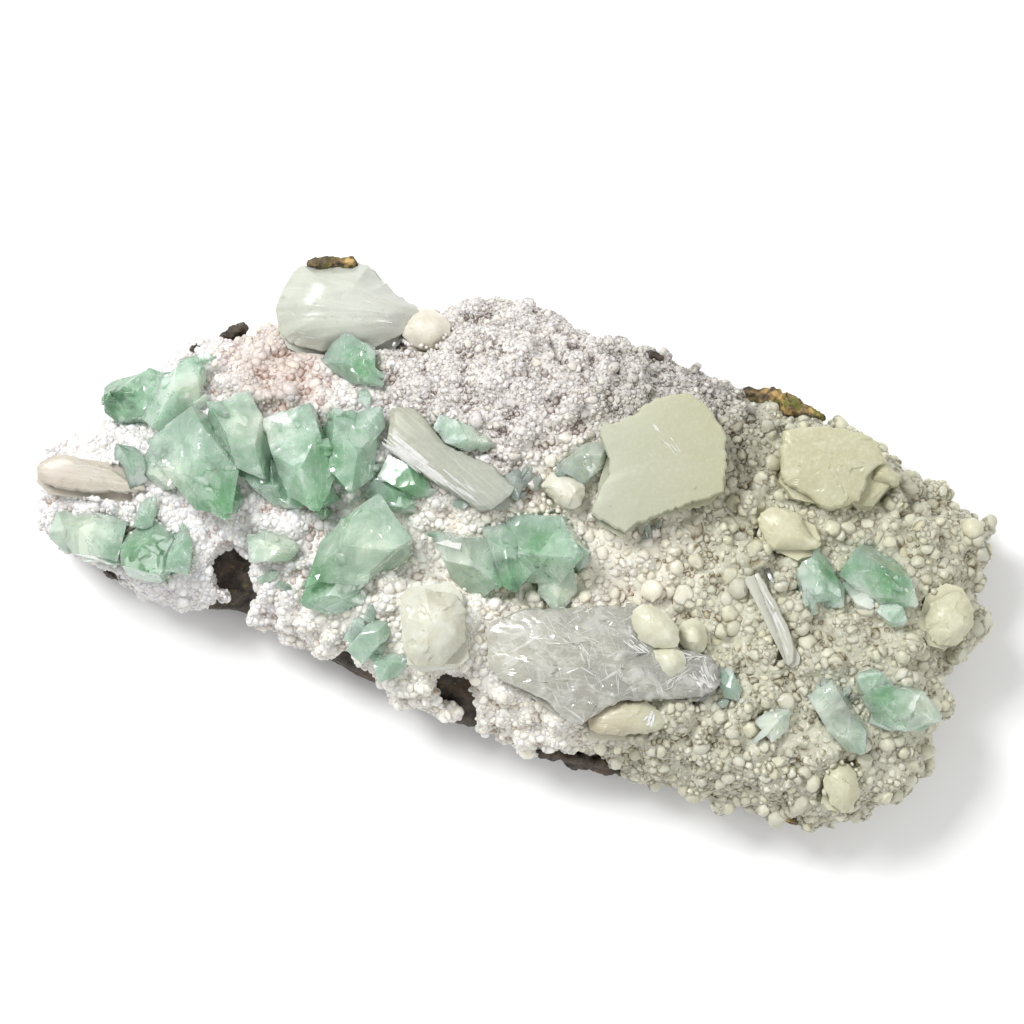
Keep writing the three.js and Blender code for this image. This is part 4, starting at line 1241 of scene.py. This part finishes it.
# Their outlines as the photo shows them, from above.
OUTLINES = {
    "stilbite_plate": [
        (15.4, 19.6), (18.6, 19.7), (21.8, 21.6), (24.8, 24.0), (28.5, 24.5), (30.7, 24.7),
        (33.5, 23.0), (34.8, 21.5), (36.6, 19.1), (37.4, 16.9), (37.2, 14.6), (36.8, 7.6),
        (30.0, 5.5), (25.6, 3.5), (21.6, 2.2), (19.4, 0.4), (17.1, 1.8), (13.9, 3.8),
        (15.0, 8.1), (16.7, 10.3), (17.1, 12.4), (16.7, 14.2), (15.6, 16.9),
    ],
    "stilbite_blade": [
        (-21.0, 22.4), (-19.6, 22.6), (-17.3, 22.4), (-16.1, 21.7), (-14.7, 20.0),
        (-12.6, 17.3), (-11.2, 15.8), (-8.6, 14.7), (-5.6, 13.3), (-2.6, 11.9),
        (-1.8, 10.7), (0.4, 8.6), (-0.2, 7.4), (-2.1, 5.8), (-3.9, 4.7), (-6.0, 4.7),
        (-8.2, 6.3), (-10.9, 7.9), (-13.1, 9.1), (-16.1, 11.4), (-18.9, 13.3),
        (-21.2, 14.9), (-21.9, 16.3), (-21.5, 19.1),
    ],
    "stilbite_fan": [
        (-41.5, 41.3), (-41.1, 43.1), (-40.4, 43.9), (-39.4, 45.3), (-38.9, 46.7),
        (-37.8, 48.1), (-36.6, 48.7), (-31.9, 48.5), (-27.0, 48.7), (-25.2, 48.7),
        (-24.5, 47.3), (-23.3, 46.0), (-21.9, 45.2), (-20.8, 43.9), (-18.0, 42.0),
        (-16.8, 41.1), (-16.5, 40.1), (-17.9, 38.0), (-19.6, 36.4), (-21.4, 35.4),
        (-25.7, 33.8), (-28.4, 33.4), (-33.6, 33.6), (-38.5, 34.8), (-40.3, 35.7),
        (-40.8, 38.0), (-41.3, 39.7),
    ],
    "stilbite_sheaf": [
        (-4.6, -15.9), (-3.7, -14.9), (-0.4, -13.1), (1.8, -12.4), (8.4, -12.6),
        (15.4, -11.9), (21.7, -11.9), (24.2, -13.8), (26.6, -17.7), (29.4, -19.6),
        (32.0, -19.8), (34.1, -20.7), (35.5, -21.9), (36.4, -23.6), (35.9, -25.6),
        (34.8, -27.0), (33.4, -27.8), (25.0, -28.2), (18.6, -28.5), (16.1, -29.8),
        (14.0, -31.2), (11.9, -32.4), (9.8, -31.9), (7.5, -30.3), (5.8, -28.4),
        (3.2, -27.0), (-2.1, -24.7), (-3.9, -23.1), (-4.4, -20.8), (-4.2, -18.6),
    ],
    "stilbite_stub": [
        (13.1, -31.5), (14.2, -30.3), (16.1, -29.2), (18.6, -28.5), (21.4, -28.2),
        (23.6, -28.5), (25.2, -29.9), (26.3, -31.0), (26.8, -32.2), (25.9, -33.4),
        (23.8, -34.0), (20.7, -34.1), (17.2, -34.3), (14.9, -34.1), (13.5, -33.3),
    ],
    "stilbite_left_blade": [
        (-83.0, 13.3), (-81.7, 14.0), (-78.9, 15.1), (-77.0, 14.7), (-74.7, 13.7),
        (-70.0, 12.3), (-68.6, 11.4), (-66.9, 10.3), (-64.8, 9.6), (-64.4, 8.8),
        (-66.5, 8.2), (-74.7, 8.4), (-80.0, 9.3), (-82.1, 9.8), (-83.0, 10.9),
        (-83.3, 12.3),
    ],
    "stilbite_needle": [
        (42.4, -6.5), (42.9, -6.0), (44.3, -8.1), (45.5, -10.3), (46.7, -12.8),
        (48.0, -15.1), (48.8, -17.3), (49.2, -19.4), (49.0, -21.5), (48.1, -22.4),
        (47.4, -20.3), (46.6, -17.7), (45.7, -15.1), (44.8, -12.8), (43.9, -10.7),
        (43.1, -8.6),
    ],
    "heulandite_upper_right": [
        (47.4, 18.7), (50.4, 19.4), (55.7, 19.6), (58.3, 19.1), (62.7, 17.5), (64.1, 16.6),
        (64.4, 15.6), (65.3, 13.3), (63.7, 12.4), (62.8, 11.7), (62.0, 10.5), (61.6, 9.1),
        (60.6, 6.5), (58.5, 5.8), (55.3, 4.9), (53.9, 5.4), (52.5, 6.7), (50.4, 8.2),
        (48.7, 8.9), (47.4, 10.0), (47.1, 12.1), (46.9, 14.7),
    ],
    "heulandite_lower_left": [
        (-15.2, -8.9), (-13.5, -9.6), (-11.7, -10.0), (-9.8, -10.3), (-8.9, -11.4),
        (-8.2, -12.8), (-8.0, -15.9), (-8.0, -18.4), (-9.3, -19.4), (-10.7, -21.2),
        (-12.1, -22.4), (-16.5, -22.4), (-18.0, -21.4), (-18.6, -19.8), (-19.3, -14.2),
        (-18.6, -12.6), (-17.3, -11.2), (-16.3, -10.2),
    ],
    "heulandite_beside_plate": [
        (5.1, 9.1), (6.1, 10.2), (7.4, 11.2), (9.1, 11.0), (11.0, 10.2), (12.4, 8.9),
        (12.8, 7.4), (12.1, 5.8), (10.7, 4.9), (8.9, 5.1), (7.7, 6.3), (6.5, 7.4),
    ],
    "heulandite_right": [
        (43.4, 4.4), (45.2, 5.4), (47.3, 5.4), (49.7, 4.4), (50.8, 3.3), (51.5, 1.6),
        (52.5, 0.2), (54.0, -1.1), (53.0, -1.9), (45.5, -2.1), (44.5, -0.7), (43.1, 1.9),
        (42.9, 3.3),
    ],
    "heulandite_lower_right": [
        (55.1, -39.4), (57.1, -38.7), (59.0, -39.2), (60.2, -40.8), (60.7, -42.9),
        (60.6, -45.2), (59.5, -47.1), (57.8, -47.6), (56.2, -46.7), (55.1, -44.6),
        (54.6, -41.8),
    ],
    "heulandite_fan_foot": [
        (-19.6, 37.5), (-19.1, 39.0), (-17.9, 40.4), (-16.1, 41.1), (-14.0, 40.8),
        (-12.1, 39.9), (-10.9, 38.3), (-10.9, 36.2), (-11.9, 34.7), (-13.8, 33.6),
        (-15.9, 33.8), (-17.9, 34.8), (-19.3, 36.1),
    ],
    "heulandite_right_edge": [
        (74.9, -10.3), (77.0, -9.3), (78.8, -8.9), (80.2, -10.2), (80.9, -11.9),
        (81.0, -13.8), (80.5, -15.6), (79.3, -17.0), (78.1, -18.2), (76.3, -18.6),
        (74.6, -18.2), (73.3, -16.8), (72.5, -15.1), (72.3, -13.1), (73.3, -11.4),
    ],
    "plate_beside": [
        (63.6, 14.4), (64.9, 14.2), (66.7, 12.1), (68.2, 10.7), (67.9, 9.5), (66.7, 9.1),
        (64.8, 9.8), (63.2, 10.4),
    ],
    "heulandite_sheaf_pair": [
        (21.0, -13.0), (22.4, -11.9), (24.3, -12.1), (26.1, -13.0), (27.5, -14.4),
        (28.7, -16.1), (29.2, -18.0), (28.4, -19.4), (26.6, -19.6), (24.5, -19.3),
        (22.6, -18.2), (21.4, -16.8), (20.7, -15.1),
    ],
    "bead_below": [
        (24.5, -19.8), (26.3, -19.0), (28.2, -19.0), (29.6, -20.1), (30.3, -21.7),
        (29.8, -23.3), (28.5, -24.3), (27.0, -24.5), (25.7, -23.8), (24.9, -22.4),
        (24.3, -21.0),
    ],
    "heulandite_sheaf_end": [
        (28.9, -15.8), (29.9, -14.5), (31.3, -14.0), (32.6, -14.5), (33.6, -15.6),
        (34.1, -17.3), (34.0, -18.9), (33.1, -20.0), (31.5, -20.1), (29.9, -19.4),
        (29.1, -18.0),
    ],
}
# Two crystals are pairs. The second one's outline, by the node of the first.
BESIDE = {"heulandite_upper_right": "plate_beside", "heulandite_sheaf_pair": "bead_below"}
# The CAD root of this one would show past its outline.
ROOTLESS = ("stilbite_stub",)
FOOT = 2.6  # mm from a crystal's bevel down to its CAD root, unless it has its own
DOME = 2.6  # how flat a crown is, unless it has its own: the higher, the flatter
HEULANDITE_STEPS, STILBITE_STEPS = 2.4 * MM, 3 * MM  # how far apart its growth steps are
SHARP = math.radians(24)


def ragged(outline, jag, pick):
    """Points at even steps along an outline, and the same points shifted in or out."""
    closed = np.array([*outline, outline[0]])
    way = np.concatenate([[0], np.cumsum(np.linalg.norm(np.diff(closed, axis=0), axis=1))])
    count = int(way[-1] / RING_STEP)
    at = np.arange(count) * way[-1] / count
    points = np.column_stack([np.interp(at, way, closed[:, k]) for k in (0, 1)])
    ahead = np.roll(points, -1, axis=0) - np.roll(points, 1, axis=0)
    aside = np.column_stack([ahead[:, 1], -ahead[:, 0]])
    aside /= np.linalg.norm(aside, axis=1)[:, None]
    shift = np.repeat(pick.uniform(-1, 1, count), pick.integers(1, 5, count))[:count]
    return points, points + aside * (jag * shift)[:, None]


def foot(node, high, way):
    """The root of a broad crystal as the CAD has it, up to some way below its bevel."""
    solid = cad_mesh(node)
    places = places_of(solid)
    top = (high - way["crown"] - way["edge"] - way.get("foot", FOOT)) * MM
    top = max(top, places[:, 2].min() + MM)
    places[:, 2] = places[:, 2].clip(None, top)
    return places, triangles_of(solid)


def broad_crystal(outline, low, high, way, pick):
    """Upright sides, a narrow bevel and a low crown. Lengths are in mm."""
    plain, rim = ragged(outline, way["jag"], pick)
    core = plain.mean(0)
    reach = np.linalg.norm(plain - core, axis=1).mean()
    bevelled = 1 - way["edge"] / reach
    shoulder = high - way["crown"] - way["edge"]
    middle = (low + shoulder) / 2
    rings = [(0.93, low)] + [(1.0, z) for z in np.linspace(middle, shoulder, 6)]
    for share in np.linspace(1, 0, int(reach / RING_STEP) + 2)[:-1]:
        rings.append((bevelled * share, high - way["crown"] * share ** way.get("dome", DOME)))
    places = []
    for share, z in rings:
        worn = np.clip((share - 0.75) / 0.25, 0, 1)
        flat = core + share * (plain + worn * (rim - plain) - core)
        places.append(np.column_stack([flat, np.full(len(flat), z)]))
    count = len(rim)
    faces = []
    for ring in range(len(rings) - 1):
        for k in range(count):
            a, b = ring * count + k, ring * count + (k + 1) % count
            faces.append((b, a, a + count, b + count))
    last = (len(rings) - 1) * count
    places = np.vstack([*places, (*core, high), (*core, low)])
    faces += [(last + (k + 1) % count, last + k, len(places) - 2) for k in range(count)]
    faces += [(k, (k + 1) % count, len(places) - 1) for k in range(count)]
    return mesh_of(places * MM, faces)


def rooted(node, way, pick):
    """A broad crystal on its root, with the second of a pair."""
    (_, _, low), (_, _, high) = np.array(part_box(node)) / MM
    heap = Heap()
    if node not in ROOTLESS:
        heap.add(*foot(node, high, way))
    heap.take(broad_crystal(OUTLINES[node], low, high, way, pick))
    if node in BESIDE:
        outline = OUTLINES[BESIDE[node]]
        heap.take(broad_crystal(outline, low, high - way["drop"], way, pick))
    return heap.mesh()


# How each heulandite looks: its colour, how steep its growth steps are, how high its
# crown is, how wide its bevel, how ragged its outline, how far its root lies below the
# bevel and how much lower the second of a pair is.
HEULANDITES = {
    "heulandite_upper_right": dict(colour=srgb(184, 183, 154), slope=0.05, crown=0.8,
                                   edge=0.4, jag=0.18, foot=2.0, drop=1.6),
    "heulandite_lower_left": dict(colour=srgb(204, 205, 193), slope=0.09, crown=2.4,
                                  edge=0.6, jag=0.15),
    "heulandite_beside_plate": dict(colour=srgb(214, 213, 200), slope=0.09, crown=1.2,
                                    edge=0.6, jag=0.15, foot=4.0),
    "heulandite_right": dict(colour=srgb(198, 196, 168), slope=0.05, crown=1.0, edge=0.5,
                             jag=0.12, foot=1.2),
    "heulandite_lower_right": dict(colour=srgb(196, 195, 170), slope=0.05, crown=1.4,
                                   edge=0.5, jag=0.2),
    "heulandite_fan_foot": dict(colour=srgb(222, 217, 207), slope=0.04, crown=1.6, edge=0.9,
                                jag=0.1),
    "heulandite_right_edge": dict(colour=srgb(200, 199, 174), slope=0.08, crown=1.4,
                                  edge=0.7, jag=0.2, foot=0.8),
    "heulandite_sheaf_pair": dict(colour=srgb(212, 213, 194), slope=0.04, crown=1.0,
                                  edge=0.9, jag=0.1, drop=1.0),
    "heulandite_sheaf_end": dict(colour=srgb(210, 210, 190), slope=0.04, crown=1.3,
                                 edge=0.9, jag=0.1),
}


def heulandites(look):
    for number, (node, way) in enumerate(HEULANDITES.items()):
        pick = np.random.default_rng(HEULANDITE_SEED + number)
        mesh = rooted(node, way, pick)
        places, out = places_of(mesh), normals_of(mesh)
        set_places(mesh, stepped(places, out, HEULANDITE_STEPS, way["slope"], pick))
        mesh.set_sharp_from_angle(angle=SHARP)
        put(mesh, "tint", np.tile(way["colour"], (len(places), 1)))
        piece(node + "_crystal", mesh, look, [node])


# Which way each stilbite's fibres run, from a focus in mm or at an angle in degrees, how
# high its ribs stand, how high its crown is and how flat its dome, how wide its bevel, how
# ragged its outline, how steep its growth steps, how far its root lies below the bevel,
# and its colours at the near and the far end of its fibres.
FIBRES = {
    "stilbite_fan": dict(focus=(-12, 39), ribs=0.16, crown=3.4, dome=4, edge=1.0, jag=0.15,
                         slope=0.01, near=srgb(212, 213, 206), far=srgb(194, 200, 187)),
    "stilbite_blade": dict(angle=-40, ribs=0.05, crown=0.9, edge=0.6, jag=0.1, slope=0.01,
                           near=srgb(170, 172, 153), far=srgb(178, 184, 175)),
    "stilbite_plate": dict(focus=(2, 6), ribs=0.03, crown=0.5, edge=0.3, jag=0.25, slope=0.006,
                           near=srgb(182, 185, 166), far=srgb(182, 182, 148)),
    "stilbite_sheaf": dict(angle=-8, ribs=0.08, crown=1.8, edge=0.6, jag=0.2, slope=0.05,
                           near=srgb(214, 211, 198), far=srgb(164, 163, 158)),
    "stilbite_stub": dict(angle=4, ribs=0.03, crown=0.7, edge=0.9, jag=0.12, slope=0.05,
                          near=srgb(202, 184, 152), far=srgb(202, 204, 178)),
    "stilbite_left_blade": dict(angle=-6, ribs=0.05, crown=0.5, edge=0.5, jag=0.2, slope=0.03,
                                near=srgb(200, 189, 176), far=srgb(204, 196, 184)),
    "stilbite_needle": dict(angle=-64, ribs=0.08, crown=0.4, edge=0.3, jag=0.05, slope=0.02,
                            foot=0.7, near=srgb(206, 206, 195), far=srgb(200, 200, 186)),
}
FAN_WIDTH = 14 * MM  # across the fibres of a fan, for each radian


def along_fibres(places, way):
    """How far along and across its fibres the points of a stilbite are."""
    if "angle" in way:
        return turned(places[:, :2], way["angle"])
    reach = places[:, :2] - np.array(way["focus"]) * MM
    along = np.linalg.norm(reach, axis=1)
    return along, np.arctan2(reach[:, 1], reach[:, 0]) * FAN_WIDTH


def stilbites(looks):
    """Makes the stilbites and returns their meshes by node."""
    made = {}
    for number, (node, way) in enumerate(FIBRES.items()):
        pick = np.random.default_rng(STILBITE_SEED + number)
        mesh = rooted(node, way, pick)
        places = places_of(mesh)
        along, across = along_fibres(places, way)
        ridges = np.array([
            noise.noise(Vector((a * 700, b * 40, 7)))
            + 0.5 * noise.noise(Vector((a * 1500, b * 60, 3)))
            for a, b in zip(across, along)
        ])
        places = places + normals_of(mesh) * (way["ribs"] * MM * ridges)[:, None]
        places = stepped(places, normals_of(mesh), STILBITE_STEPS, way["slope"], pick)
        set_places(mesh, places)
        mesh.set_sharp_from_angle(angle=SHARP)
        put(mesh, "fibre", across)
        put(mesh, "along", along)
        share = ((along - along.min()) / np.ptp(along))[:, None]
        put(mesh, "tint", np.array(way["near"]) * (1 - share) + np.array(way["far"]) * share)
        look, slot = looks.get(node, looks["others"])
        piece(node + "_crystal", mesh, look, [node])
        made[node] = mesh
    return made


# Bundles of thin white fibres, some of them painted glints: middle, how many, half sizes of
# the patch along and across them, their length and width, their direction and its spread in
# degrees.
RAYS = {
    "stilbite_blade": [
        (-17.8, 13.6, 90, 2.4, 1.5, 6.0, 0.24, -39, 1.0),
        (-14.2, 10.9, 40, 2.2, 1.0, 4.6, 0.22, -39, 1.0),
        (-9.6, 8.7, 14, 2.6, 0.9, 5.0, 0.15, -38, 1.5),
        (-7.4, 7.4, 8, 1.8, 1.2, 3.4, 0.16, -38, 3),
    ],
    "stilbite_sheaf": [
        (3, -17, 20, 5, 3.5, 4.6, 0.07, 165, 22), (13, -16, 24, 6, 4, 5.0, 0.07, 150, 34),
        (21.6, -19.0, 16, 1.6, 1.0, 2.6, 0.2, -38, 8),
        (12, -12.8, 8, 2.2, 1.0, 4.2, 0.09, 40, 10),
        (13, -21.5, 10, 2.2, 0.7, 3.0, 0.13, -70, 14),
        (18.6, -24.5, 5, 1.6, 0.5, 3.0, 0.12, 80, 6),
        (33.2, -24.2, 18, 1.6, 1.8, 2.6, 0.22, -60, 14),
        (28.6, -24.6, 16, 2.4, 1.2, 2.6, 0.14, 50, 16),
        (31.6, -20.8, 7, 1.4, 0.6, 2.2, 0.2, 10, 12),
    ],
    "stilbite_fan": [
        (-36.4, 38.4, 20, 2.6, 5, 2.0, 0.12, 175, 10),
        (-24.6, 40.4, 14, 2.6, 3, 2.6, 0.1, 172, 8),
    ],
    "stilbite_plate": [
        (27.6, 15.6, 7, 1.6, 1.0, 2.0, 0.14, -50, 4),
        (25.2, 18.6, 2, 0.3, 0.3, 2.0, 0.24, -60, 6),
    ],
    "stilbite_needle": [
        (45.2, -12.6, 10, 4.4, 0.5, 4.4, 0.26, -63, 2),
        (47.6, -18.6, 6, 1.8, 0.7, 2.4, 0.2, -66, 3),
    ],
    "stilbite_left_blade": [(-74, 12.0, 9, 3.6, 1.0, 3.0, 0.1, -12, 6)],
    "stilbite_stub": [(24.0, -31.6, 7, 0.8, 0.8, 1.6, 0.5, 60, 10)],
}


def fibres_and_glints(made, look):
    """Fine raised white fibres on the stilbites, partly painted glints."""
    pick = np.random.default_rng(RAY_SEED)
    for node, bundles in RAYS.items():
        ground = tree_of(made[node])
        heap = Heap()
        for x, y, count, along, across, length, width, angle, spread in bundles:
            turn = math.radians(angle)
            for _ in range(count):
                ahead, aside = pick.uniform(-along, along), pick.uniform(-across, across)
                spot, normal = on_top(
                    ground, x + ahead * math.cos(turn) - aside * math.sin(turn),
                    y + ahead * math.sin(turn) + aside * math.cos(turn),
                )
                way = turn + math.radians(pick.normal(0, spread))
                direction = Vector((math.cos(way), math.sin(way), 0))
                direction -= direction.dot(normal) * normal
                reach = length * pick.uniform(0.5, 1.2) * MM
                wide = width * pick.uniform(0.6, 1.3) * MM
                needle = point_shape(reach, wide, pick, 0)
                heap.add(*laid(needle, spot - 0.1 * wide * normal, direction, normal))
        mesh = heap.mesh()
        mesh.shade_flat()
        piece(node + "_rays", mesh, look)


# ---- The scene ----------------------------------------------------------------------

stage()
basalt()
ground = tree_of(druse())
mint = apophyllite_look()
apophyllites(mint)
small_crystals(ground, mint)
fibre_and_glint_white = fibre_and_glint_look()
painted_glints(fibre_and_glint_white)
heulandites(heulandite_look())
fibrous = {
    "stilbite_plate": (stilbite_look("plain_stilbite", clear=0.12, density=30, ribs=0.03,
                                     crossed=0.0, rough=0.46, gloss=0.0), "stilbite"),
    "stilbite_sheaf": (stilbite_look("clear_stilbite", clear=0.5, density=6, ribs=0.35,
                                     crossed=0.9, rough=0.16, gloss=0.9,
                                     cloudy=0.55), "clear_stilbite"),
    "others": (stilbite_look("stilbite", clear=0.2, density=26, ribs=0.2, crossed=0.1,
                             rough=0.38, gloss=0.15), "stilbite"),
}
fibres_and_glints(stilbites(fibrous), fibre_and_glint_white)
